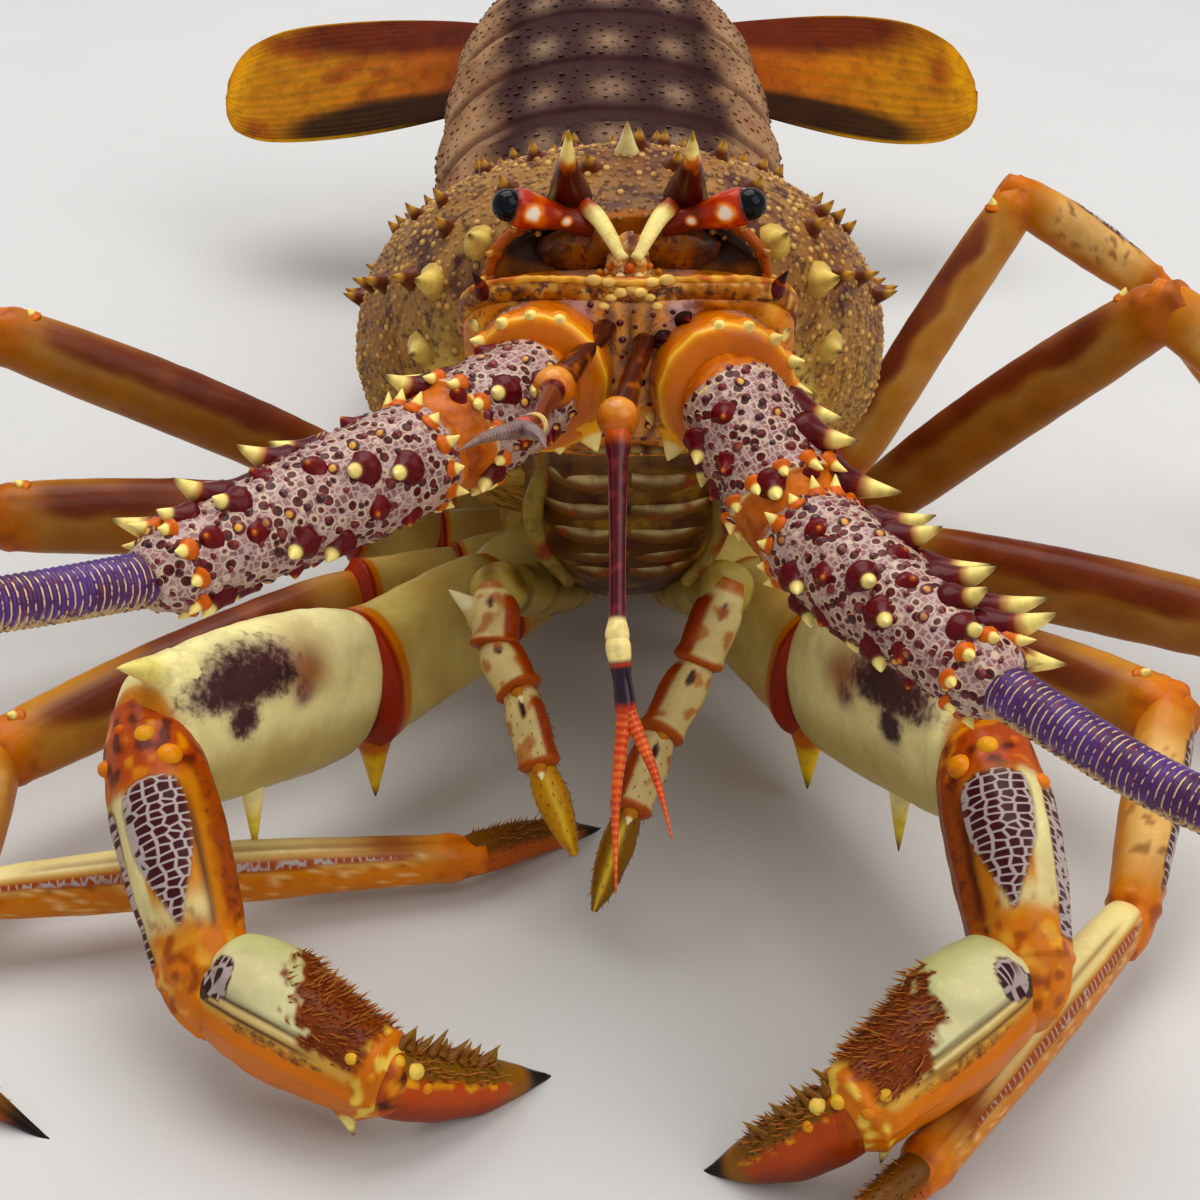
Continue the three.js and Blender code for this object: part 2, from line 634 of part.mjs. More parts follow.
// Antennae: base, two spiny peduncle segments and a long ringed flagellum
const ANTENNAE = {
  left: {
    base: [vec(9.5, 3, 72.5), vec(11.6, -12, 74.4)],
    elbow: vec(19.7, -28, 64),
    wrist: vec(37.4, -58, 61.7),
    sweep: [vec(54, -78, 60.6), vec(88, -106, 62), vec(140, -116, 72), vec(196, -90, 84),
      vec(236, -34, 90), vec(256, 40, 90), vec(262, 118, 84)],
  },
  right: {
    base: [vec(-9.5, 3, 74), vec(-11.2, -12, 75.7)],
    elbow: vec(-23.6, -26, 73.9),
    wrist: vec(-50.9, -52, 72.1),
    sweep: [vec(-63.4, -64, 76), vec(-96, -88, 84), vec(-146, -98, 94), vec(-200, -76, 102),
      vec(-238, -22, 104), vec(-256, 50, 100), vec(-260, 124, 90)],
  },
};

const BASE_STATIONS = [[-0.1, 13, 14], [0.25, 16, 17], [0.65, 16.5, 17.5], [0.92, 14.5, 15], [1.05, 9, 9.5]];
const FOURTH_STATIONS = [[-0.2, 8, 8], [-0.02, 12.5, 12.5], [0.3, 13.6, 13.6], [0.8, 13, 13],
  [1.0, 11.5, 11.5], [1.15, 7, 7]];
const FIFTH_STATIONS = [[-0.12, 7, 7], [0.02, 11.8, 11.8], [0.2, 13, 13], [0.6, 11.2, 11.2],
  [0.92, 9, 9], [1.0, 7.4, 7.4], [1.03, 6.6, 6.6]];

// Spines in rings round a peduncle segment; the outer ones are the longest
function peduncleSpines(start, end, stations, rows, perRow, longest, seed) {
  const draw = draws(seed);
  const along = end.clone().sub(start);
  const side = along.clone().cross(UP).normalize();
  const over = side.clone().cross(along).normalize();
  const width = profile(stations.map(([share, w]) => [share, w]));
  const spines = [];
  for (let row = 0; row < rows; row += 1) {
    const share = 0.14 + 0.78 * (row + 0.5) / rows;
    for (let i = 0; i < perRow; i += 1) {
      const angle = 2 * Math.PI * (i + 0.5 * (row % 2) + 0.3 * (draw() - 0.5)) / perRow;
      const out = side.clone().multiplyScalar(Math.cos(angle)).addScaledVector(over, Math.sin(angle));
      const root = start.clone().addScaledVector(along, share)
        .addScaledVector(out, width(share)[1] / 2 - 0.25);
      const outer = Math.max(0, out.dot(vec(Math.sign(end.x), 0, 0.35)));
      const length = 1.1 + longest * outer ** 3 * (0.4 + 0.6 * share) + 0.9 * draw();
      const lean = out.clone().addScaledVector(along.clone().normalize(), 0.7);
      spines.push(spine(root, lean, length, 0.95 + 0.12 * length));
    }
  }
  return spines;
}

function flagellumCurve(side) {
  const { elbow, wrist, sweep } = ANTENNAE[side];
  const start = wrist.clone().addScaledVector(wrist.clone().sub(elbow).normalize(), 0.4);
  return new THREE.CatmullRomCurve3([start, ...sweep]);
}

function flagellumPiece(curve, index) {
  const half = GAP / 2 / curve.getLength();
  const from = index / FLAGELLUM_LENGTHS + (index === 0 ? 0 : half);
  const to = (index + 1) / FLAGELLUM_LENGTHS - (index + 1 === FLAGELLUM_LENGTHS ? 0 : half);
  const radius = (share, i) => (FLAGELLUM_BASE + (FLAGELLUM_TIP - FLAGELLUM_BASE) * share ** 0.8) / 2
    * (i % 2 ? 1.05 : 0.97);
  return tube(curve, from, to, 19, radius, 7);
}

function antennaBase(side, grow = 0) {
  const [shoulder, root] = ANTENNAE[side].base;
  return bar(shoulder, root, BASE_STATIONS, { sides: 12, grow });
}

function antenna(side, seed, blockers) {
  const { base, elbow, wrist, sweep } = ANTENNAE[side];
  const [shoulder, root] = base;
  const rootNormal = bend(shoulder, root, elbow);
  const elbowNormal = bend(root, elbow, wrist);
  const wristNormal = wrist.clone().sub(elbow).normalize();
  const back = normal => normal.clone().negate();
  const flange = [0.35, 0.75].map((share, i) => {
    const at = shoulder.clone().lerp(root, share).add(vec(Math.sign(root.x) * 7, 0, 4 - 7 * i));
    return spine(at, vec(Math.sign(root.x), -0.5, 0.6 - i), 3.2, 1.6);
  });
  const fourth = join([bar(root, elbow, FOURTH_STATIONS, { sides: 10 }),
    ...peduncleSpines(root, elbow, FOURTH_STATIONS, 3, 7, 5, seed)]);
  const fifth = join([bar(elbow, wrist, FIFTH_STATIONS, { sides: 10 }),
    ...peduncleSpines(elbow, wrist, FIFTH_STATIONS, 6, 7, 7, seed + 1)]);
  const mouth = wrist.clone().addScaledVector(wristNormal, 1.2);
  const pieces = Array.from({ length: FLAGELLUM_LENGTHS }, (_, i) => flagellumPiece(flagellumCurve(side), i));
  const stem = antennuleStem(side, GAP);
  return {
    base: beyond(cut(join([antennaBase(side), ...flange]), blockers), root, back(rootNormal)),
    fourth: cut(beyond(beyond(fourth, root, rootNormal), elbow, back(elbowNormal)), [stem]),
    fifth: beyond(beyond(fifth, elbow, elbowNormal), mouth, back(wristNormal)),
    flagellum: pieces.map((piece, i) => (i === 0 ? beyond(piece, mouth, wristNormal) : piece)),
  };
}

// Antennules: three slim segments and a pair of short whips
const ANTENNULES = {
  left: [vec(2.2, -4, 79), vec(-1.8, -22, 76.1), vec(-2.2, -42, 58.2), vec(-1.2, -46, 50.8)],
  right: [vec(-2.2, -4, 80.5), vec(-9.1, -21, 79.5), vec(-11, -45, 86), vec(-12, -56, 91)],
};

function antennuleStem(side, grow = 0) {
  const [root, ball] = ANTENNULES[side];
  return join([
    bar(root, ball, [[0, 2.6, 2.6], [0.6, 2.4, 2.4], [1, 3.6, 3.6]], { sides: 6, grow }),
    egg(ball, 2.3 + grow, 2.3 + grow, 2.3 + grow),
  ]);
}

function antennule(side, blockers) {
  const [, ball, far, end] = ANTENNULES[side];
  const across = { sides: 6, up: vec(1, 0, 0) };
  const shaft = bar(ball, far, [[0, 2.6, 2.6], [0.2, 2.2, 2.2], [0.95, 2, 2], [1.02, 2.6, 2.6]], across);
  const last = bar(far, end, [[0, 2.6, 2.6], [1, 2.2, 2.2]], across);
  const reach = end.clone().sub(far).normalize();
  const whips = [-1, 1].map(way => {
    const tip = end.clone().addScaledVector(reach, 15 - 3 * way).add(vec(way * 3.5, -3.5, 0));
    return spineTo(end, tip, 0.85);
  });
  return cut(join([antennuleStem(side), shaft, last, ...whips]), blockers);
}

// Third maxillipeds: leg-like feelers that hang in front of the mouth
const MAXILLIPEDS = {
  left: [vec(7, 24, 27), vec(13.5, 3, 39), vec(9.5, -2, 30.5), vec(4.2, -10, 24.3), vec(0.1, -18, 17.8),
    vec(-4.4, -24, 6.9)],
  right: [vec(-7, 24, 27), vec(-17.5, 3, 39), vec(-17.6, -2, 33.5), vec(-14.3, -8, 30), vec(-11.6, -15, 22.9),
    vec(-7.4, -20, 12.9)],
};
const MAXILLIPED_STATIONS = [[0, -0.1, 5, 5], [0, 0.5, 7, 7], [1, 0, 5.6, 5.6], [1, 0.5, 6.2, 6.2],
  [2, 0, 5, 5], [2, 0.5, 5.6, 5.6], [3, 0, 4.4, 4.4], [3, 0.5, 5, 5], [4, 0, 3.8, 3.8],
  [4, 0.4, 4, 4], [4, 1.05, 1.2, 1.2]];

const maxilliped = (side, blockers) => cut(limb(MAXILLIPEDS[side], MAXILLIPED_STATIONS), blockers);

// Eyes: a short stalk and a black cornea on each side
function eye(side, blockers) {
  const centre = vec(side * EYE_SPACING / 2, 2, EYE_HEIGHT);
  const root = vec(side * 4.6, 5, 89.6);
  const outward = centre.clone().sub(root).normalize();
  const seat = centre.clone().addScaledVector(outward, -CORNEA_RADIUS * 0.55);
  const stalk = bar(root, centre, [[0, 3.4, 3.4], [0.35, 3.4, 3.4], [0.7, 4.4, 4.4], [0.92, 4, 4]],
    { sides: 8 });
  return {
    stalk: beyond(cut(stalk, blockers), seat, outward.clone().negate()),
    cornea: beyond(egg(centre, CORNEA_RADIUS, CORNEA_RADIUS, CORNEA_RADIUS, 12, 7), seat, outward),
  };
}

// Assembly
const lobster = new THREE.Group();
const group = (...members) => {
  const result = new THREE.Group();
  result.add(...members);
  lobster.add(result);
};

const grownCarapace = carapaceShell(GAP);
const grownHead = headPlate(GAP);
const grownMouth = mouthBlock(GAP);
const grownSternum = sternumBlock(GAP);

const besideHead = SIDES.flatMap(([side]) => [antennaBase(side, GAP), antennuleStem(side, GAP)]);

group(
  mesh('carapace', carapace(), 'shell'),
  mesh('head_plate', cut(join([headPlate(), headPlateDetails(besideHead)]), [grownCarapace]), 'orange'),
  mesh('mouth', cut(join([mouthBlock(0), ...mouthPlates()]), [grownCarapace, grownHead]), 'mouthparts'),
  mesh('sternum', cut(sternumBlock(0), [grownCarapace, grownMouth]), 'leg'),
);

for (const [side, sign] of SIDES) {
  const headBlockers = [grownCarapace, grownHead];
  const { stalk, cornea } = eye(sign, [...headBlockers, horn(sign, GAP), rostrumRidge(sign, GAP)]);
  const parts = antenna(side, sign > 0 ? 31 : 41, [...headBlockers, grownMouth]);
  const feeler = antennule(side, [...headBlockers, antennaBase(side, GAP)]);
  group(
    mesh(`eye_stalk_${side}`, stalk, 'orange'),
    mesh(`eye_${side}`, cornea, 'eye'),
    mesh(`antenna_base_${side}`, parts.base, 'orange'),
    mesh(`antenna_fourth_${side}`, parts.fourth, 'peduncle'),
    mesh(`antenna_fifth_${side}`, parts.fifth, 'peduncle'),
    ...parts.flagellum.map((piece, i) => mesh(`flagellum_${side}_${i + 1}`, piece, 'flagellum')),
    mesh(`antennule_${side}`, feeler, 'orange'),
    mesh(`maxilliped_${side}`, maxilliped(side, [grownMouth, grownSternum, grownCarapace]), 'mouthparts'),
  );
}

group(...SEGMENT_LENGTHS.map((_, i) =>
  mesh(`abdomen_${i + 1}`, cut(abdomenSegment(i), i === 0 ? [grownCarapace] : []), 'abdomen')));

const grownTail = loft([[80, 1.03], [92, 1.03], [102.4, 1.02]].map(([at, factor]) => abdomenRing(at, factor, GAP)));
const grownTelson = telson(2 * GAP);
group(mesh('telson', cut(telson(0), [grownTail]), 'fan'));
for (const [side, sign] of SIDES) {
  const inner = cut(innerUropod(sign, 0), [grownTail, grownTelson]);
  const outer = cut(outerUropod(sign, 0), [grownTail, innerUropod(sign, GAP), grownTelson]);
  group(mesh(`uropod_inner_${side}`, inner, 'fan'), mesh(`uropod_outer_${side}`, outer, 'fan'));
}

for (const [side] of SIDES) {
  const blockers = [grownCarapace, grownSternum, grownMouth];
  const front = frontLeg(side, blockers);
  group(...Object.entries(front).map(([part, solid]) => mesh(`leg1_${part}_${side}`, solid, 'leg')));
  for (const kind of ['leg2', 'leg3', 'leg4', 'leg5']) {
    const { upper, lower } = walkingLeg(kind, side, blockers);
    group(mesh(`${kind}_upper_${side}`, upper, 'leg'), mesh(`${kind}_lower_${side}`, lower, 'leg'));
  }
}

// Origin on the floor, under the middle of the whole animal
const bounds = new THREE.Box3().setFromObject(lobster, true);
const middle = bounds.getCenter(vec(0, 0, 0));
lobster.position.set(-middle.x, -middle.y, -bounds.min.z);

export default lobster;
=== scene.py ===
import math

import bpy
import numpy as np
from bpy.props import FloatProperty, FloatVectorProperty, IntProperty, PointerProperty
from mathutils import Euler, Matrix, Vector, noise


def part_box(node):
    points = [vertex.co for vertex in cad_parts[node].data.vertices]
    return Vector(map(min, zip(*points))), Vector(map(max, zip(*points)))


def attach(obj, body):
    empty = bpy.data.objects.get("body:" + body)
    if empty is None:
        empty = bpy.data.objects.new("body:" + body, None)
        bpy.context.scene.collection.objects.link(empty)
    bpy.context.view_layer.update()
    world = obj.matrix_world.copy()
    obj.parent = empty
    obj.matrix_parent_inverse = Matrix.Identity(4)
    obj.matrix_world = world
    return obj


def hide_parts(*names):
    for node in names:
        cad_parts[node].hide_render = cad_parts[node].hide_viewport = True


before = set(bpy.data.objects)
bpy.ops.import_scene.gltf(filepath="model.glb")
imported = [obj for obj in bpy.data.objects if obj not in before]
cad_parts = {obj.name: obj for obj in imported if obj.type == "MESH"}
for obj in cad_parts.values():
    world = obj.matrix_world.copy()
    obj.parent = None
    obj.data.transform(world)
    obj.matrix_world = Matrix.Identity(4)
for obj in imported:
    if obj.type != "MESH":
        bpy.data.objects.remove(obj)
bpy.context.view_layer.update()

bl_info = {
    "name": "Spiny rock lobster",
    "version": (1, 0, 0),
    "blender": (4, 5, 0),
    "location": "View3D > Sidebar > Lobster",
    "description": "Detailed shell, limbs and finishes of a life-size spiny rock lobster",
    "category": "Add Mesh",
}

# Shapes are worked out in millimetres, with the animal facing -Y and its left side at +X.
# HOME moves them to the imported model's frame, by way of the middle plate of the tail fan.
TELSON_TIP = 259.1
low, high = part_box("telson")
HOME = np.array([(low.x + high.x) * 500, high.y * 1000 - TELSON_TIP, 0.0])
UP = np.array([0.0, 0.0, 1.0])
# The markings are laid out as seen from ahead of the animal and half above it
FRONT = np.array([0.0, -0.866, 0.5])
HIGH = np.array([0.0, 0.5, 0.866])
SIDES = (("left", 1), ("right", -1))
VALUES = ("dark", "net", "dots", "speck", "bumpy", "hair")
# How much richer the colours of a wet shell are
WET = 1.13


def tint(code):
    """Linear colour of a hex code."""
    channels = [int(code[i:i + 2], 16) / 255 for i in (1, 3, 5)]
    return tuple(c / 12.92 if c <= 0.04045 else ((c + 0.055) / 1.055) ** 2.4 for c in channels)


def colour(name, description, code):
    return FloatVectorProperty(name=name, description=description, subtype="COLOR", size=3,
                               min=0, max=1, default=tint(code))


def length(name, description, millimetres):
    return FloatProperty(name=name, description=description, unit="LENGTH", min=0,
                         default=millimetres / 1000)


class LobsterSizes(bpy.types.PropertyGroup):
    granule_spacing: length("Granule spacing", "Distance between the granules of the carapace", 1.501)
    granule_size: length("Granule size", "Radius of the largest granules of the carapace", 0.65)
    tubercle_spacing: length("Tubercle spacing", "Distance between the tubercles of the antennae", 1.9)
    tubercle_size: length("Tubercle size", "Radius of the largest tubercles of the antennae", 0.85)
    ring_pitch: length("Ring pitch", "Distance between the rings of the antenna whips", 0.85)
    whip_base: length("Whip base", "Diameter of an antenna whip at its base", 5.9)
    whip_tip: length("Whip tip", "Diameter of an antenna whip at its tip", 1.1)
    tuft_length: length("Tuft length", "Length of the tufts on the front feet", 1.7)
    cornea: length("Cornea", "Radius of the black part of an eye", 2.0)
    seed: IntProperty(name="Seed", description="Start of every random draw", default=7, min=0)


class LobsterColours(bpy.types.PropertyGroup):
    shell: colour("Shell", "Tan ground of the carapace", "#a27a4c")
    shell_dark: colour("Shell blotches", "Purple-brown blotches of the carapace", "#4c2a33")
    cream: colour("Cream", "Ground of the front legs", "#faf0b0")
    tan: colour("Tan", "Ground of the walking legs", "#b88644")
    band: colour("Band", "Dark bands along the walking legs", "#662e1e")
    patch: colour("Patches", "Dark purple patches of the legs", "#421420")
    orange: colour("Orange", "Joints of the legs and rims of the head", "#c8701a")
    knee: colour("Knees", "Orange-brown knees of the front legs", "#a34c0c")
    caramel: colour("Caramel", "Smooth lobes at the roots of the antennae", "#c6701c")
    lilac: colour("Lilac", "Ground of the spiny antenna segments", "#9c7672")
    maroon: colour("Maroon", "Tubercles and spines of the antennae and the head", "#520d12")
    yellow: colour("Yellow", "Tips of the spines", "#f4e090")
    purple: colour("Purple", "Rings of the antenna whips", "#56307c")
    back: colour("Back", "Dark band along the abdomen", "#280d12")
    flank: colour("Flank", "Sides of the abdomen", "#a58263")
    gold: colour("Gold", "Edge of the tail fan", "#aa7006")
    rust: colour("Rust", "Hairy patches of the front feet", "#7c3a06")
    floor: colour("Floor", "Floor under the animal", "#d2d0cd")


# Shapes


def unit(v):
    v = np.asarray(v, float)
    return v / np.maximum(np.linalg.norm(v, axis=-1, keepdims=True), 1e-9)


def smooth(low_edge, high_edge, value):
    """0 below the first edge, 1 above the second."""
    t = np.clip((value - low_edge) / (high_edge - low_edge), 0, 1)
    return t * t * (3 - 2 * t)


def hump(value, centre, width):
    return np.exp(-((value - centre) / width) ** 2)


def blob(across, along, centre, reach):
    """1 inside an ellipse and 0 outside it, with a soft edge."""
    away = np.hypot((across - centre[0]) / reach[0], (along - centre[1]) / reach[1])
    return smooth(1.25, 0.75, away)


def table(rows):
    """Smooth values between rows whose first column is the place."""
    rows = np.asarray(rows, float)
    x = rows[:, 0]
    slope = np.empty_like(rows)
    slope[1:-1] = (rows[2:] - rows[:-2]) / (x[2:] - x[:-2])[:, None]
    slope[0] = (rows[1] - rows[0]) / (x[1] - x[0])
    slope[-1] = (rows[-1] - rows[-2]) / (x[-1] - x[-2])

    def read(at):
        at = np.asarray(at, float)
        i = np.clip(np.searchsorted(x, at) - 1, 0, len(x) - 2)
        span = x[i + 1] - x[i]
        t = ((at - x[i]) / span)[..., None]
        span = span[..., None]
        found = ((2 * t**3 - 3 * t**2 + 1) * rows[i] + (t**3 - 2 * t**2 + t) * span * slope[i]
                 + (3 * t**2 - 2 * t**3) * rows[i + 1] + (t**3 - t**2) * span * slope[i + 1])
        return found[..., 1:]

    return read


def distances(line):
    """How far each point of a line is from its first one, along it."""
    return np.concatenate([[0], np.cumsum(np.linalg.norm(np.diff(line, axis=0), axis=1))])


def read_line(at, run, line):
    """What a line holds at some distances along it."""
    return np.column_stack([np.interp(at, run, line[:, k]) for k in range(3)])


def spline(points, count):
    """Evenly spaced points on a smooth curve through the given ones."""
    points = np.asarray(points, float)
    steps = distances(points)
    fine = table(np.column_stack([steps, points]))(np.linspace(0, steps[-1], count * 4))
    run = distances(fine)
    return read_line(np.linspace(0, run[-1], count), run, fine)


def rough(points, size, seed=0.0):
    """Noise between -1 and 1 at each point; size is that of its lumps."""
    flat = points.reshape(-1, 3) / size + seed * 7.3
    return np.array([noise.noise(Vector(p)) for p in flat]).reshape(points.shape[:-1])


def near(points, place, reach):
    """1 at a place and 0 far from it; reach is one radius or three."""
    away = (points - np.asarray(place, float)) / np.asarray(reach, float)
    return np.exp(-(away**2).sum(-1))


def hue(key):
    """Linear colour of a hex code, or of a colour in the panel."""
    if key.startswith("#"):
        return np.array(tint(key))
    return np.array(getattr(bpy.context.scene.lobster_colours, key))


def wash(grid, key):
    """An even ground colour over a skin."""
    return np.broadcast_to(hue(key), (*grid.shape[:2], 3))


def over(ground, key, amount):
    """The ground with another colour laid over it."""
    amount = np.clip(amount, 0, 1)[..., None]
    return ground + (hue(key) - ground) * amount


def coats(ground, *layers):
    """The ground with several colours laid over it in turn."""
    for key, amount in layers:
        ground = over(ground, key, amount)
    return ground


def deepened(paint):
    """The same colours a little richer, as on a wet shell."""
    grey = paint.mean(-1, keepdims=True)
    return np.clip(grey + WET * (paint - grey), 0, 1)


def sphere(sides, rows):
    """Rings of a ball of radius 1."""
    turn = np.linspace(0, 2 * np.pi, sides, endpoint=False)[None, :]
    tilt = np.linspace(0.04, np.pi - 0.04, rows)[:, None]
    return np.stack([np.sin(tilt) * np.cos(turn), np.sin(tilt) * np.sin(turn), np.cos(tilt) + 0 * turn], -1)


def rounded(sides, power):
    """Sideways and upward shares round an oval; a power above 2 squares it off."""
    turn = np.linspace(0, 2 * np.pi, sides, endpoint=False)[None, :]
    return [np.sign(v) * np.abs(v) ** (2 / power) for v in (np.cos(turn), np.sin(turn))]


def hull(rows, y, sides, power, shrink=()):
    """Rings of a body with rows of [y, half width, top, middle, bottom]; shrink closes its front face."""
    y = np.concatenate([np.full(len(shrink), y[0]), y])
    scale = np.concatenate([shrink, np.ones(len(y) - len(shrink))])[:, None]
    half, top, level, bottom = (column[:, None] for column in table(rows)(y).T)
    across, rise = rounded(sides, power)
    x = across * half * scale
    z = level + scale * rise * np.where(rise > 0, top - level, level - bottom)
    return np.stack([x, y[:, None] + 0 * x, z], -1), across, rise, scale


class Rings:
    """A skin of rings round a path, before it goes into a form."""

    def __init__(self, path, width, height, sides=40, up=UP, power=2.0):
        path = np.asarray(path, float)
        self.along = unit(np.gradient(path, axis=0))
        self.side = unit(np.cross(self.along, up))
        self.over = np.cross(self.side, self.along)
        self.angle = np.linspace(0, 2 * np.pi, sides, endpoint=False)[None, :]
        self.share = np.linspace(0, 1, len(path))[:, None]
        aside, above = (part * (np.zeros((len(path), 1)) + np.reshape(size, (-1, 1)) / 2)
                        for part, size in zip(rounded(sides, power), (width, height)))
        self.out = self.side[:, None] * aside[..., None] + self.over[:, None] * above[..., None]
        self.path = path
        self.grid = path[:, None] + self.out
        self.facing = unit(self.out)
        self.limb = np.stack([distances(path)[:, None] + 0 * aside, aside, above], -1)

    @property
    def reach(self):
        """The share along the path, at every point of the skin."""
        return self.share + 0 * self.angle

    def push(self, amount):
        """Moves the skin out by an amount in millimetres."""
        self.grid = self.grid + self.facing * np.asarray(amount)[..., None]

    def look(self, direction):
        """How far each point of the skin faces a direction, from -1 to 1."""
        across = unit(direction - self.along * (self.along @ direction)[:, None])
        return (self.facing * across[:, None]).sum(-1)


def segment(start, end, rows, sides=40, steps=44, up=UP, bow=0.0, power=2.0):
    """Rings of one limb segment. Rows are [share, width, height]; bow lifts its middle."""
    start, end = np.asarray(start, float), np.asarray(end, float)
    rows = np.asarray(rows, float)
    share = np.linspace(rows[0, 0], rows[-1, 0], steps)
    along = end - start
    lift = np.cross(unit(np.cross(along, up)), unit(along))
    arch = bow * np.sin(np.pi * np.clip(share, 0, 1))
    sizes = np.maximum(table(rows)(share), 0.05)
    path = start + share[:, None] * along + lift * arch[:, None]
    rings = Rings(path, sizes[:, 0], sizes[:, 1], sides, up, power)
    rings.share = share[:, None]
    return rings


def placed(name, data):
    """A new object of the scene."""
    made = bpy.data.objects.new(name, data)
    bpy.context.scene.collection.objects.link(made)
    return made


class Form:
    """Points, faces, colours and values of one piece."""

    def __init__(self):
        self.points, self.faces, self.skins = [], [], []
        self.layers = {name: [] for name in ("paint", "limb", "flat", *VALUES)}
        self.count = 0

    def skin(self, grid, paint="cream", limb=None, **values):
        """Adds a closed skin of rings with its colours."""
        rings, sides = grid.shape[:2]
        index = self.count + np.arange(rings * sides).reshape(rings, sides)
        after = np.roll(index, -1, axis=1)
        quads = np.stack([index[:-1], after[:-1], after[1:], index[1:]], -1).reshape(-1, 4)
        ends = [self.count + rings * sides, self.count + rings * sides + 1]
        caps = np.concatenate([
            np.stack([after[0], index[0], np.full(sides, ends[0])], -1),
            np.stack([index[-1], after[-1], np.full(sides, ends[1])], -1)])
        points = np.concatenate([grid.reshape(-1, 3), [grid[0].mean(0), grid[-1].mean(0)]])
        a, b, c, d = (points[quads[:, k] - self.count] for k in range(4))
        volume = np.einsum("ij,ij->i", a, np.cross(b, c)) + np.einsum("ij,ij->i", a, np.cross(c, d))
        if volume.sum() < 0:
            quads, caps = quads[:, ::-1], caps[:, ::-1]
        self.points.append(points)
        self.faces += quads.tolist() + caps.tolist()
        flat = np.stack(np.meshgrid(np.linspace(0, 1, rings), np.linspace(0, 0.95, sides),
                                    indexing="ij") + [np.full((rings, sides), len(self.skins))], -1)
        layers = {"paint": deepened(wash(grid, paint) if isinstance(paint, str) else paint),
                  "limb": grid if limb is None else limb, "flat": flat}
        layers.update({name: values.get(name, 0.0) for name in VALUES})
        for name, layer in layers.items():
            wide = (rings, sides) if name in VALUES else (rings, sides, 3)
            layer = np.broadcast_to(np.asarray(layer, float), wide)
            middles = np.stack([layer[0].mean(0), layer[-1].mean(0)])
            self.layers[name].append(np.concatenate([layer.reshape(-1, *wide[2:]), middles]))
        self.skins.append(points)
        self.count += len(points)
        return self

    def ball(self, centre, radii, sides=24, rows=14, paint="cream"):
        grid = sphere(sides, rows) * np.asarray(radii) + np.asarray(centre, float)
        return self.skin(grid, paint)

    def thorn(self, root, direction, height, radius, hook=0.0, *, foot="maroon", point="yellow",
              end="#4a2410", change=0.45, flat=1.0, sides=12):
        """A curved spine with a flared foot, sunk a little into what it grows from."""
        root, direction = np.asarray(root, float), unit(direction)
        share = np.linspace(-0.22, 1, 13)
        rise = np.clip(share, 0, 1)
        curve = unit(np.cross(np.cross(direction, UP), direction) + 1e-6)
        path = root + share[:, None] * direction * height + curve * (hook * height * rise**2)[:, None]
        width = 2 * radius * (0.3 * (1 - rise) ** 6 + (1 - rise) ** 0.85 + 0.03)
        rings = Rings(path, width, width * flat, sides, up=UP + 0.01)
        level = rise[:, None] + 0 * rings.angle
        paint = over(wash(rings.grid, foot), point, smooth(change - 0.09, change + 0.09, level))
        if foot == "maroon":
            paint = over(paint, "#b85014", 0.8 * hump(level, change - 0.03, 0.05))
        return self.skin(rings.grid, over(paint, end, smooth(0.84, 0.95, level)))

    def piece(self, name, finish, *nodes, slot):
        """The finished piece, standing for those solids."""
        points = (np.concatenate(self.points) + HOME) / 1000
        points[:, 2] = np.maximum(points[:, 2], 0)
        mesh = bpy.data.meshes.new(name)
        mesh.from_pydata(points.tolist(), [], self.faces)
        mesh.shade_smooth()
        layers = {key: np.concatenate(parts).astype(np.float32) for key, parts in self.layers.items()}
        layers["flat"][:, 1] = (layers["flat"][:, 1] + layers["flat"][:, 2]) / len(self.skins)
        paint = np.column_stack([layers.pop("paint"), np.ones(len(points), np.float32)])
        mesh.attributes.new("paint", "FLOAT_COLOR", "POINT").data.foreach_set("color", paint.ravel())
        for key, layer in layers.items():
            if layer.ndim == 2:
                spot = mesh.attributes.new(key, "FLOAT_VECTOR", "POINT")
                spot.data.foreach_set("vector", layer.ravel())
            else:
                mesh.attributes.new(key, "FLOAT", "POINT").data.foreach_set("value", layer)
        mesh.materials.append(finish_of(finish))
        made = placed(f"{name}_shell" if name in nodes else name, mesh)
        made["nodes"], made["finish_slot"] = list(nodes), slot
        return made


def settle(pieces):
    """Makes finished pieces ride on the body and stand for their solids."""
    for made in pieces:
        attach(made, "root")
        if made["nodes"]:
            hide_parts(*made["nodes"])
    return {"FINISHED"}


# Nodes


class Wire:
    """A socket that takes part in sums."""

    def __init__(self, board, socket):
        self.board, self.socket = board, socket

    def sum(self, operation, other, turned=False):
        pair = (other, self) if turned else (self, other)
        return self.board.node("ShaderNodeMath", {"operation": operation}, *pair)

    def __add__(self, other):
        return self.sum("ADD", other)

    __radd__ = __add__

    def __sub__(self, other):
        return self.sum("SUBTRACT", other)

    def __rsub__(self, other):
        return self.sum("SUBTRACT", other, True)

    def __mul__(self, other):
        return self.sum("MULTIPLY", other)

    __rmul__ = __mul__

    def __truediv__(self, other):
        return self.sum("DIVIDE", other)

    def __pow__(self, other):
        return self.sum("POWER", other)


class Board:
    """Puts nodes in a tree and links them."""

    def __init__(self, tree):
        self.tree = tree

    def node(self, kind, settings=None, *inputs, output=0, **named):
        made = self.tree.nodes.new(kind)
        for key, value in (settings or {}).items():
            setattr(made, key, value)
        sockets = [s for s in made.inputs if s.enabled]
        for socket, value in [*zip(sockets, inputs), *((made.inputs[k], v) for k, v in named.items())]:
            if isinstance(value, Wire):
                self.tree.links.new(value.socket, socket)
            elif value is not None:
                socket.default_value = value
        wires = [Wire(self, s) for s in made.outputs if s.enabled]
        return wires if output is None else wires[output]


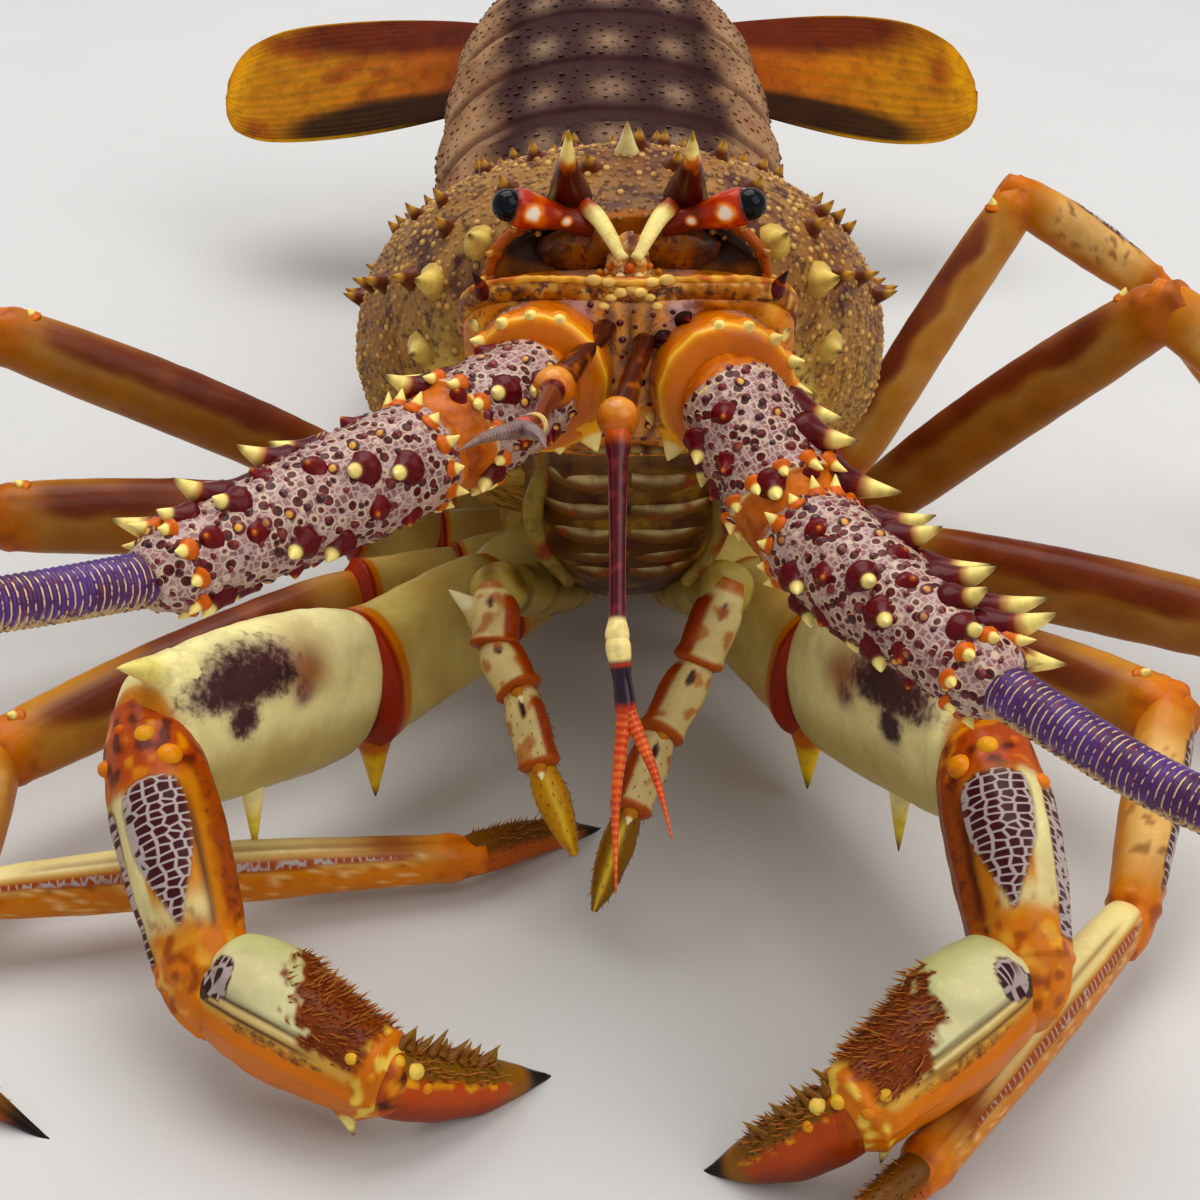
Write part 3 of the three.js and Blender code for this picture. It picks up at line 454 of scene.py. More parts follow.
class Finish(Board):
    """A material in the making. Patterns are laid out in object space, in metres."""

    def __init__(self, name, **constants):
        self.material = bpy.data.materials.new(name)
        self.material.use_nodes = True
        super().__init__(self.material.node_tree)
        self.shader = self.tree.nodes["Principled BSDF"]
        for label, value in constants.items():
            self.shader.inputs[label.replace("_", " ")].default_value = value
        self.place = self.node("ShaderNodeTexCoord", output=3)

    def value(self, name):
        return self.node("ShaderNodeAttribute", {"attribute_name": name}, output=2)

    def paint(self):
        """The colours laid out on the skin."""
        return self.node("ShaderNodeAttribute", {"attribute_name": "paint"})

    def noise(self, size, detail=3.0, roughness=0.55):
        """Noise from 0 to 1 with lumps of a size in millimetres."""
        return self.node("ShaderNodeTexNoise", None, self.place, 1000 / size, detail, roughness)

    def cells(self, size, feature="F1", spread=1.0):
        """Distance in cells of a size in millimetres: along the limb, across it and up."""
        limb = self.node("ShaderNodeAttribute", {"attribute_name": "limb"}, output=1)
        limb = self.node("ShaderNodeVectorMath", {"operation": "MULTIPLY"}, limb,
                         tuple(1 / side for side in size))
        return self.node("ShaderNodeTexVoronoi", {"feature": feature}, limb, 1.0, Randomness=spread)

    def between(self, value, low_edge, high_edge):
        return self.node("ShaderNodeMapRange", {"interpolation_type": "SMOOTHSTEP"}, value,
                         low_edge, high_edge, 0.0, 1.0)

    def mix(self, factor, first, second, blend="MIX"):
        colours = [tuple(hue(c)) + (1,) if isinstance(c, str) else (*c, 1) if isinstance(c, tuple) else c
                   for c in (first, second)]
        made = self.tree.nodes.new("ShaderNodeMix")
        made.data_type, made.blend_type = "RGBA", blend
        for socket, value in zip((made.inputs[0], made.inputs[6], made.inputs[7]), (factor, *colours)):
            if isinstance(value, Wire):
                self.tree.links.new(value.socket, socket)
            else:
                socket.default_value = value
        return Wire(self, made.outputs[2])

    def feed(self, label, wire):
        self.tree.links.new(wire.socket, self.shader.inputs[label])

    def relief(self, height, depth):
        """Bump from a height of 0 to 1; depth is in millimetres."""
        self.feed("Normal", self.node("ShaderNodeBump", None, 1.0, depth / 1000, Height=height))
        return self


DARKER = (0.5, 0.38, 0.32)
LIGHTER = (1.35, 1.3, 1.2)


def shell_finish(name, marks, mottle, gloss, lumps, depth, *, grain=1.0, coat=0.15, shine=0.12,
                 net=(1.0, 1.7, 6.0), line="#b09e98"):
    """Painted shell with mottling; marks names what it also bears.

    They are speck for freckles, dark for fuzzy patches, net for a net of cells and dots for rimmed dots.
    """
    f = Finish(name, Coat_Weight=coat, Coat_Roughness=0.18, Specular_IOR_Level=shine)
    wide, fine = f.noise(lumps, 2.0), f.noise(grain, 2.0)
    body = f.mix(f.between(wide, 0.4, 0.7) * mottle, f.paint(), DARKER, "MULTIPLY")
    body = f.mix(f.between(fine, 0.5, 0.75) * mottle, body, LIGHTER, "MULTIPLY")
    height = wide * 0.3 + fine * 0.4
    if "speck" in marks:
        freckles = f.between(f.noise(grain * 2.0, 3.0, 0.7), 0.52, 0.62) * f.value("speck")
        body = f.mix(freckles, body, "#35141c")
    if "dark" in marks:
        patch = f.between(f.value("dark") + (f.noise(1.2, 3.0, 0.6) - 0.5) * 1.1, 0.25, 0.7)
        body = f.mix(patch * 0.92, body, f.mix(f.between(wide, 0.4, 0.6), "patch", "#301014"))
    if "net" in marks:
        gap = 1 - f.between(f.cells(net, "DISTANCE_TO_EDGE", 0.5), 0.07, 0.16)
        netted = f.between(f.value("net") + (fine - 0.5) * 0.35, 0.42, 0.56)
        body = f.mix(gap * netted, body, line)
    if "dots" in marks:
        ring, dots = f.cells((1.7, 1.7, 1.7), "F1", 0.85) + (fine - 0.5) * 0.15, f.value("dots")
        body = f.mix((1 - f.between(ring, 0.42, 0.5)) * dots, body, "#ccb096")
        dot = (1 - f.between(ring, 0.3, 0.38)) * dots
        body = f.mix(dot, body, f.mix(f.between(fine, 0.4, 0.6), "#6a1414", "#360a10"))
        height = height + dot * 0.9
    f.feed("Base Color", body)
    f.feed("Roughness", gloss + (fine - 0.5) * 0.35)
    return f.relief(height, depth).material


# Places shared with the solids, in millimetres

CARAPACE = [
    [5, 17.5, 90.5, 80, 64], [12, 25, 92.3, 76, 53], [24, 32, 92.8, 68, 40], [40, 37.5, 88, 58, 29],
    [60, 40, 81, 49, 22], [80, 39.5, 74, 44, 18], [100, 37, 67.3, 41.5, 15.5], [117.7, 33, 61.5, 41, 16],
]
ABDOMEN_LINE = [[0, 118, 42], [0, 132, 44.5], [0, 150, 48], [0, 170, 52.5], [0, 190, 55],
                [0, 206, 53], [0, 220, 47.5]]
ABDOMEN = [[0, 31.5, 19.5, 12], [22, 32, 20.5, 12], [51, 30.5, 20, 11], [78, 27.5, 18.5, 10],
           [104, 22.5, 14.5, 8]]
SEGMENT_LENGTHS = [12, 20, 19, 18, 17, 16]
LEGS = {
    ("leg1", "left"): [(11, 37, 25), (18, 28, 22), (27.6, 10.5, 20.6), (43.2, -28, 33),
                       (44.6, -55, 20.4), (23.4, -69, 12.2), (8.4, -65, 0)],
    ("leg1", "right"): [(-11, 37, 25), (-19.5, 28.5, 22), (-37.5, 7.7, 21.7), (-60.1, -24, 32.8),
                        (-50.9, -48, 14.6), (-29.2, -60, 9.9), (-11.1, -49.1, 0)],
    ("leg2", "left"): [(14, 49, 18), (24, 45, 15.5), (37, 38, 13), (72.9, -5, 23.4),
                       (64.5, -29, 8.8), (31.5, -71, 5.6), (15, -86, 0)],
    ("leg2", "right"): [(-14, 49, 18), (-25, 46, 17), (-40, 38, 18), (-86, -4, 17),
                        (-87, -25, 9.8), (-22, -11.2, 5.3), (-4.2, 2.1, 0)],
    ("leg3", "left"): [(17, 62, 14.5), (29, 60, 14.5), (43, 54, 16), (95, 21, 20),
                       (117, 4, 25), (128, -38, 9), (122, -52, 0)],
    ("leg3", "right"): [(-17, 62, 14.5), (-29, 60, 15.5), (-42, 57, 20), (-94, 40, 31),
                        (-121, 14, 26), (-98, -44, 8), (-70.5, -58.1, 0)],
    ("leg4", "left"): [(18, 77, 12.5), (29, 75, 13.5), (42, 70, 16), (80.4, 48, 60.5),
                       (101, 40, 46), (120, 26, 12), (128, 21, 0)],
    ("leg4", "right"): [(-18, 77, 12.5), (-29, 75, 14), (-42, 71, 21), (-97, 66, 50),
                        (-121, 66, 40), (-146, 70, 12), (-152, 69, 0)],
    ("leg5", "left"): [(17, 91, 12), (28, 88, 13.5), (40, 82, 18), (67.4, 95, 60.7),
                       (90, 91, 46.5), (117, 90, 13), (124, 91, 0)],
    ("leg5", "right"): [(-17, 91, 12), (-27, 94, 13), (-36, 99, 15), (-38.5, 124, 34),
                        (-43, 146, 25), (-44, 163, 8), (-43.5, 171, 0)],
}
LEG_SIZES = {
    "leg1": [(13, 15), (14, 20), (14, 25), (13.5, 15), (12.5, 15.5), (7.5, 9)],
    "leg2": [(10, 11), (9.5, 11), (9, 12.5), (8.5, 9.5), (7.5, 8.5), (5, 6)],
    "leg3": [(10, 10.5), (9, 10.5), (9, 13), (8.5, 9.5), (7.5, 8.5), (5, 6)],
    "leg4": [(9, 9.5), (8.5, 10), (8, 12), (8, 9), (7, 8), (5, 5.5)],
    "leg5": [(8.5, 9), (8, 9), (7, 10), (7, 8), (6, 7), (4.5, 5)],
}
ANTENNAE = {
    "left": {
        "base": ((9.5, 3, 72.5), (11.6, -12, 74.4)), "elbow": (19.7, -28, 64), "wrist": (37.4, -58, 61.7),
        "sweep": [(54, -78, 60.6), (88, -106, 62), (140, -116, 72), (196, -90, 84), (236, -34, 90),
                  (256, 40, 90), (262, 118, 84)]},
    "right": {
        "base": ((-9.5, 3, 74), (-11.2, -12, 75.7)), "elbow": (-23.6, -26, 73.9),
        "wrist": (-50.9, -52, 72.1),
        "sweep": [(-63.4, -64, 76), (-96, -88, 84), (-146, -98, 94), (-200, -76, 102), (-238, -22, 104),
                  (-256, 50, 100), (-260, 124, 90)]},
}
ANTENNULES = {
    "left": [(2.2, -4, 79), (-1.8, -22, 76.1), (-2.2, -42, 58.2), (-1.2, -46, 50.8)],
    "right": [(-2.2, -4, 80.5), (-9.1, -21, 79.5), (-11, -45, 86), (-12, -56, 91)],
}
MAXILLIPEDS = {
    "left": [(7, 24, 27), (13.5, 3, 39), (9.5, -2, 30.5), (4.2, -10, 24.3), (0.1, -18, 17.8),
             (-4.4, -24, 6.9)],
    "right": [(-7, 24, 27), (-17.5, 3, 39), (-17.6, -2, 33.5), (-14.3, -8, 30), (-11.6, -15, 22.9),
              (-7.4, -20, 12.9)],
}


# Growth on a surface and rings along a whip


class Growth(Board):
    """A geometry node tree in the making, with named inputs."""

    def __init__(self, name, inputs):
        super().__init__(bpy.data.node_groups.new(name, "GeometryNodeTree"))
        face = self.tree.interface
        face.new_socket("Geometry", in_out="INPUT", socket_type="NodeSocketGeometry")
        for label, kind in inputs.items():
            face.new_socket(label, in_out="INPUT", socket_type="NodeSocket" + kind)
        face.new_socket("Geometry", in_out="OUTPUT", socket_type="NodeSocketGeometry")
        wires = self.node("NodeGroupInput", output=None)
        self.given = dict(zip(["Geometry", *inputs], wires))

    def keep(self, geometry, kind, label, value, domain="POINT"):
        """Stores a value on the geometry under a name."""
        return self.node("GeometryNodeStoreNamedAttribute", {"data_type": kind, "domain": domain}, geometry,
                         True, label, value)

    def read(self, kind, label):
        return self.node("GeometryNodeInputNamedAttribute", {"data_type": kind}, label)

    def vector(self, operation, *values):
        return self.node("ShaderNodeVectorMath", {"operation": operation}, *values)

    def end(self, geometry, finish):
        solid = self.node("GeometryNodeSetShadeSmooth", None, geometry)
        solid = self.node("GeometryNodeRealizeInstances", None, solid)
        solid = self.node("GeometryNodeSetMaterial", None, solid, Material=finish)
        self.node("NodeGroupOutput", None, solid, output=None)
        return self.tree


def bumps_tree():
    """Domes, cones or tufts scattered over a surface where one of its values is high.

    The unwrap keeps each of them a small patch at its root's place on the skin's own rings.
    """
    g = Growth("Bumps", {
        "Mask": "String", "Spacing": "Float", "Smallest": "Float", "Largest": "Float", "Tallness": "Float",
        "Swell": "Float", "Lean": "Vector", "Scatter": "Float", "Sides": "Int", "Seed": "Int",
        "Finish": "Material"})
    give = g.given
    points, normal, _ = g.node(
        "GeometryNodeDistributePointsOnFaces", {"distribute_method": "POISSON"}, give["Geometry"],
        output=None, **{"Distance Min": give["Spacing"], "Density Max": 4e6,
                        "Density Factor": g.read("FLOAT", give["Mask"]), "Seed": give["Seed"]})
    cone = g.node("GeometryNodeMeshCone", {"fill_type": "NGON"}, give["Sides"], 4, 1, 0.02, 1.0, 1.0)
    place = g.node("GeometryNodeInputPosition")
    height = g.node("ShaderNodeSeparateXYZ", None, place, output=2)
    swell = height * give["Swell"]
    offset = g.vector("MULTIPLY", place, g.node("ShaderNodeCombineXYZ", None, swell, swell, 0.0))
    cone = g.node("GeometryNodeSetPosition", None, cone, Offset=offset)
    cone = g.keep(cone, "FLOAT", "rise", height)
    cone = g.keep(cone, "FLOAT_VECTOR", "spot", g.vector("MULTIPLY", place, (0.001, 0.001, 0.0)))
    draw = g.node("FunctionNodeRandomValue", {"data_type": "FLOAT"}, 0.0, 1.0, Seed=give["Seed"])
    points = g.keep(points, "FLOAT", "chance", draw)
    size = give["Smallest"] + (give["Largest"] - give["Smallest"]) * draw ** 2.5
    stray = g.node("FunctionNodeRandomValue", {"data_type": "FLOAT_VECTOR"}, (-1, -1, -1), (1, 1, 1),
                   Seed=give["Seed"])
    stray = g.node("ShaderNodeVectorMath", {"operation": "SCALE"}, stray, Scale=give["Scatter"])
    turn = g.node("FunctionNodeAlignRotationToVector", {"axis": "Z"},
                  Vector=g.vector("ADD", g.vector("ADD", normal, give["Lean"]), stray))
    scale = g.node("ShaderNodeCombineXYZ", None, size, size, size * give["Tallness"])
    many = g.node("GeometryNodeInstanceOnPoints", None, points, True, cone, Rotation=turn, Scale=scale)
    solid = g.node("GeometryNodeRealizeInstances", None, many)
    spot = g.vector("ADD", g.read("FLOAT_VECTOR", "flat"), g.read("FLOAT_VECTOR", "spot"))
    solid = g.keep(solid, "FLOAT2", "OFBake", spot, "CORNER")
    return g.end(solid, give["Finish"])


def whip_tree():
    """A tapering whip of rings along a line."""
    g = Growth("Whip", {"Pitch": "Float", "Base": "Float", "Tip": "Float", "Finish": "Material"})
    give = g.given
    line = g.node("GeometryNodeMeshToCurve", None, give["Geometry"])
    line = g.node("GeometryNodeResampleCurve", {"mode": "LENGTH"}, line, Length=give["Pitch"] / 5)
    share, run, _ = g.node("GeometryNodeSplineParameter", output=None)
    phase = g.node("ShaderNodeMath", {"operation": "FRACT"}, run / give["Pitch"])
    ridge = g.node("ShaderNodeMath", {"operation": "SINE"}, phase * math.pi)
    radius = (give["Base"] + (give["Tip"] - give["Base"]) * share ** 0.8) / 2 * (0.93 + ridge * 0.11)
    line = g.node("GeometryNodeSetCurveRadius", None, line, Radius=radius)
    line = g.keep(line, "FLOAT", "ring", ridge)
    section = g.node("GeometryNodeCurvePrimitiveCircle", None, 16, Radius=1.0)
    tube = g.tree.nodes.new("GeometryNodeCurveToMesh")
    wires = {"Curve": line, "Profile Curve": section, "Scale": g.node("GeometryNodeInputRadius")}
    for label, wire in wires.items():
        g.tree.links.new(wire.socket, tube.inputs[label])
    tube.inputs["Fill Caps"].default_value = True
    upward = g.node("ShaderNodeSeparateXYZ", None, g.node("GeometryNodeInputNormal"), output=2)
    return g.end(g.keep(Wire(g, tube.outputs[0]), "FLOAT", "upward", upward), give["Finish"])


def grown(made, name, **inputs):
    """What a node tree grows on the piece, as a plain mesh."""
    modifier = made.modifiers.new(name, "NODES")
    trees = {"Bumps": bumps_tree, "Whip": whip_tree}
    modifier.node_group = bpy.data.node_groups.get(name) or trees[name]()
    for item in modifier.node_group.interface.items_tree:
        if item.in_out == "INPUT" and item.name in inputs:
            modifier[item.identifier] = inputs[item.name]
    made.data.update()
    bpy.context.view_layer.update()
    graph = bpy.context.evaluated_depsgraph_get()
    mesh = bpy.data.meshes.new_from_object(made.evaluated_get(graph), preserve_all_data_layers=True,
                                           depsgraph=graph)
    made.modifiers.clear()
    return mesh


def bumps(skin, name, finish, mask="bumpy", *, spacing, smallest, largest, tallness=0.8, swell=1.0,
          lean=(0.0, 0.0, 0.0), scatter=0.0, sides=8, seed=1):
    """A piece of small bumps that grow where a value of the skin is high."""
    mesh = grown(skin, "Bumps", Mask=mask, Spacing=spacing, Smallest=smallest, Largest=largest,
                 Tallness=tallness, Swell=swell, Lean=lean, Scatter=scatter, Sides=sides, Seed=seed,
                 Finish=finish_of(finish))
    points = np.empty(len(mesh.vertices) * 3, np.float32)
    mesh.vertices.foreach_get("co", points)
    points[2::3] = np.maximum(points[2::3], 0)
    mesh.vertices.foreach_set("co", points)
    mesh.name = name
    made = placed(name, mesh)
    made["nodes"], made["finish_slot"] = [], skin["finish_slot"]
    return made


# Finishes


def finish_of(key):
    """The finish of that name, made on first use."""
    made = bpy.data.materials.get(key)
    if made:
        return made
    return shell_finish(key, **SHELLS[key]) if key in SHELLS else FINISH_MAKERS[key](key)


def granule_finish(name):
    """Granules a little lighter than the shell they stand on."""
    f = Finish(name, Coat_Weight=0.1, Coat_Roughness=0.25, Specular_IOR_Level=0.25)
    body = f.mix(f.between(f.value("rise"), 0.1, 0.8) * 0.75, f.paint(), "#b4823e")
    body = f.mix(f.between(f.value("chance"), 0.6, 0.95) * f.between(f.value("rise"), 0.4, 0.8), body,
                 "#d8aa58")
    body = f.mix(f.between(f.noise(4.0, 4.0), 0.48, 0.6) * 0.6, body, "shell_dark")
    f.feed("Base Color", body)
    f.feed("Roughness", 0.4 + f.noise(2.0) * 0.25)
    return f.relief(f.noise(0.7), 0.06).material


def tubercle_finish(name):
    """Maroon domes with a pale foot; some of the largest have a yellow crown."""
    f = Finish(name, Coat_Weight=0.3, Coat_Roughness=0.16, Specular_IOR_Level=0.3)
    rise, chance = f.value("rise"), f.value("chance")
    dome = f.mix(f.between(f.noise(1.2, 2.0), 0.42, 0.62), "#74141a", "#3c080e")
    body = f.mix(f.between(rise, 0.12, 0.3), "#ddc29c", dome)
    crown = f.between(chance, 0.9, 0.97) * f.between(rise, 0.6, 0.85)
    f.feed("Base Color", f.mix(crown, body, "#e6a83c"))
    f.feed("Roughness", 0.24 + f.noise(1.5) * 0.15)
    return f.relief(f.noise(0.5), 0.04).material


def tuft_finish(name):
    """Short stiff hairs, rust at the root and olive-gold at the end."""
    f = Finish(name, Specular_IOR_Level=0.3)
    body = f.mix(f.between(f.value("chance"), 0.2, 0.8), "#64280a", "#a4520e")
    f.feed("Base Color", f.mix(f.between(f.value("rise"), 0.3, 0.9), body, "#b48628"))
    f.feed("Roughness", 0.5 + f.noise(1.0) * 0.2)
    return f.material


def whip_finish(name):
    """Deep purple rings with fine golden joints, paler underneath."""
    f = Finish(name, Coat_Weight=0.2, Coat_Roughness=0.2, Specular_IOR_Level=0.25)
    ring, wide = f.value("ring"), f.noise(6.0, 3.0)
    violet = f.mix(f.between(wide, 0.35, 0.65), "purple", "#4a1e50")
    violet = f.mix(f.between(f.noise(1.6, 4.0), 0.55, 0.7) * 0.7, violet, "#7a2838")
    below = f.between(f.value("upward") + (f.noise(1.2, 3.0) - 0.5) * 0.7, -0.1, -0.5)
    pale = f.mix(f.between(f.noise(0.9, 3.0), 0.5, 0.62), "#c9a468", "#4a1c18")
    body = f.mix(below, violet, pale)
    joint = f.mix(f.between(f.noise(0.9, 2.0), 0.46, 0.58), "#e6c486", "#5c3048")
    f.feed("Base Color", f.mix(f.between(ring, 0.15, 0.42), joint, body))
    f.feed("Roughness", 0.3 + f.noise(1.5) * 0.2)
    return f.relief(f.noise(0.6, 3.0), 0.05).material


def cornea_finish(name):
    f = Finish(name, Coat_Weight=0.12, Coat_Roughness=0.03, Specular_IOR_Level=0.15)
    f.feed("Base Color", f.mix(f.between(f.noise(1.2), 0.3, 0.7), "#020305", "#070b12"))
    f.feed("Roughness", 0.05 + f.noise(0.8) * 0.05)
    return f.relief(f.noise(0.3), 0.004).material


FINISH_MAKERS = {"granules": granule_finish, "tubercles": tubercle_finish, "tufts": tuft_finish,
                 "whip": whip_finish, "cornea": cornea_finish}
SHELLS = {
    "carapace_shell": dict(marks="speck", mottle=0.5, gloss=0.55, lumps=6.0, depth=0.3, coat=0.05),
    "abdomen_shell": dict(marks="speck", mottle=0.3, gloss=0.5, lumps=6.0, depth=0.25, coat=0.0, shine=0.08),
    "fan_plates": dict(marks="speck", mottle=0.45, gloss=0.6, grain=1.2, lumps=6.0, depth=0.15, coat=0.0,
                       shine=0.08),
    "head_shell": dict(marks="speck dots", mottle=0.5, gloss=0.36, grain=0.7, lumps=3.0, depth=0.12,
                       coat=0.25),
    "mouth_shell": dict(marks="speck", mottle=0.6, gloss=0.45, lumps=3.0, depth=0.2, coat=0.1),
    "smooth_shell": dict(marks="dots", mottle=0.3, gloss=0.3, grain=0.9, lumps=5.0, depth=0.06, coat=0.3),
    "peduncle_shell": dict(marks="net dots", mottle=0.5, gloss=0.36, grain=0.6, lumps=2.2, depth=0.25,
                           coat=0.25, net=(0.9, 0.8, 0.8), line="#b89c92"),
    "leg_shell": dict(marks="dark net", mottle=0.3, gloss=0.4, grain=1.3, lumps=9.0, depth=0.12),
    "spines": dict(marks="", mottle=0.3, gloss=0.32, grain=0.6, lumps=1.6, depth=0.05),
    "feeler": dict(marks="", mottle=0.4, gloss=0.2, grain=0.8, lumps=2.0, depth=0.04, coat=0.5),
}


# Carapace, horns and head


def draws(seed):
    """Repeatable numbers between 0 and 1, the same as those that place the solid spines."""
    state = seed
    while True:
        state = (state * 1664525 + 1013904223) % 4294967296
        yield state / 4294967296


def on_carapace(y, angle):
    """Point and outward direction on the carapace."""
    def place(yy, a):
        half, top, level, bottom = table(CARAPACE)(yy)
        rise = top - level if math.sin(a) > 0 else level - bottom
        return np.array([half * math.cos(a), yy, level + rise * math.sin(a)])
    step = 0.01
    across = place(y, angle + step) - place(y, angle - step)
    back = place(y + step, angle) - place(y - step, angle)
    return place(y, angle), unit(np.cross(back, across))


def carapace_skin():
    """Rings from the middle of the front face, round its edge and back along the shell."""
    grid, across, rise, scale = hull(CARAPACE, np.linspace(5, 117.7, 190), 180, 2.1, [
        0.03, 0.2, 0.36, 0.5, 0.62, 0.72, 0.8, 0.87, 0.92, 0.96, 0.985])
    x, y, _ = grid.transpose(2, 0, 1).copy()
    half, top, level, _ = (column[:, None] for column in table(CARAPACE)(y[:, 0]).T)
    groove_line = 61 - 9 * np.abs(across) ** 1.5
    groove = hump(y, groove_line, 2.6) * (rise > 0)
    gutters = hump(np.abs(x), 9 + 0.05 * (y - 60), 1.6) * smooth(60, 68, y)
    hem = hump(y, 111.5, 1.6)
    out = unit(np.stack([across / half, 0 * x, rise / (top - level)], -1))
    sink = 2.2 * groove + 0.8 * gutters * (rise > 0.3) + 0.9 * hem
    grid = grid + out * (rough(grid, 7.0) * 0.35 + rough(grid, 2.5, 1) * 0.12 - sink)[..., None]
    front = scale < 1
    for side in (1, -1):
        pit = near(grid, (side * 10.2, 5, 87.0), (4.4, 3, 2.5))
        grid[..., 1] += np.where(front, 2.2 * pit, 0)
    return grid, y, front, rise, groove + 0.6 * hem


def carapace(seed):
    form = Form()
    grid, y, front, rise, fold_shade = carapace_skin()
    x = np.abs(grid[..., 0])
    # The last layer darkens a stripe along the middle of the back, and lays painted shade into the grooves
    # and along the hem.
    paint = coats(
        wash(grid, "shell"),
        ("#94602e", 0.8 * smooth(-0.2, 0.5, rough(grid, 16.0, 8))),
        ("shell_dark", 0.8 * smooth(0.1, 0.5, rough(grid, 7.0, 3) + 0.5 * rough(grid, 3.0, 4))),
        ("shell_dark", 0.4 * hump(x, 0, 4) * (rise > 0) + 0.5 * np.clip(fold_shade, 0, 1)))
    low_side = smooth(0.1, -0.6, rise)
    paint = coats(
        paint, ("#c49a4a", 0.7 * low_side),
        ("#dcc070", low_side * hump(y, 16, 14) * smooth(-0.1, 0.4, rough(grid, 6.0, 5))),
        ("orange", 0.8 * smooth(114, 116.5, y)))
    face = front | (y < 6.5)
    paint = np.where(face[..., None], over(wash(grid, "#9c5a1c"), "shell", smooth(14, 20, x)), paint)
    # Painted shade: near-black brown in the hollows beside the eyes, on the front face.
    for side in (1, -1):
        hollow_shade = near(grid, (side * 12.5, 6, 86.6), (4.6, 5, 3.0)) + 0.3 * rough(grid, 1.5, 6)
        paint = over(paint, "#3a241a", 1.6 * np.clip(hollow_shade, 0, 1) * face * (x > 6))
    speck = np.where(face, 0.3, 0.7)
    form.skin(grid, paint, speck=speck, bumpy=np.where(front, 0.0, smooth(-0.8, -0.3, rise))
              * smooth(116, 113, y) * (0.55 + 0.45 * smooth(70, 20, y)))
    made = form.piece("carapace_shell", "carapace_shell", "carapace", slot="shell")
    sizes = bpy.context.scene.lobster_sizes
    return [made, bumps(made, "carapace_granules", "granules", spacing=sizes.granule_spacing,
                        smallest=0.0004, largest=sizes.granule_size, lean=(0.0, -0.5, 0.15),
                        sides=6, seed=seed)]


def carapace_spines():
    """The rows of forward-leaning spines, on the same places as the solid ones."""
    form, draw = Form(), draws(11)
    y = 17.0
    while y < 112:
        ahead = 1 - (y - 17) / 95
        count = 7 + int(y + 0.5) % 2
        for i in range(count):
            angle = math.radians(6 + 168 * (i + 0.5) / count + 7 * (next(draw) - 0.5))
            point, normal = on_carapace(y + 3 * (next(draw) - 0.5), angle)
            out = 1 - abs(math.sin(angle))
            tall = 1.7 + 1.2 * ahead + 1.6 * out + 0.6 * next(draw)
            form.thorn(point, normal + (0, -0.75, 0.1), tall * 1.05, 0.95 + 0.4 * ahead, 0.12,
                       foot="#6b3a26", point="#c79a4e", change=0.6, end="#7a4a20")
        y += 9.2
    for _, side in SIDES:
        for yy, angle, tall in ((9, 34, 5.2), (12, 12, 6), (15, -12, 4.2), (10, 55, 4.2)):
            point, normal = on_carapace(yy, math.radians(angle if side > 0 else 180 - angle))
            form.thorn(point, normal + (0, -1.3, 0.25), tall, 1.9, 0.15, foot="#c9a85c", point="#e8d07c",
                       change=0.3, end="#3a1c10")
    return form.piece("carapace_spines", "spines", slot="shell")


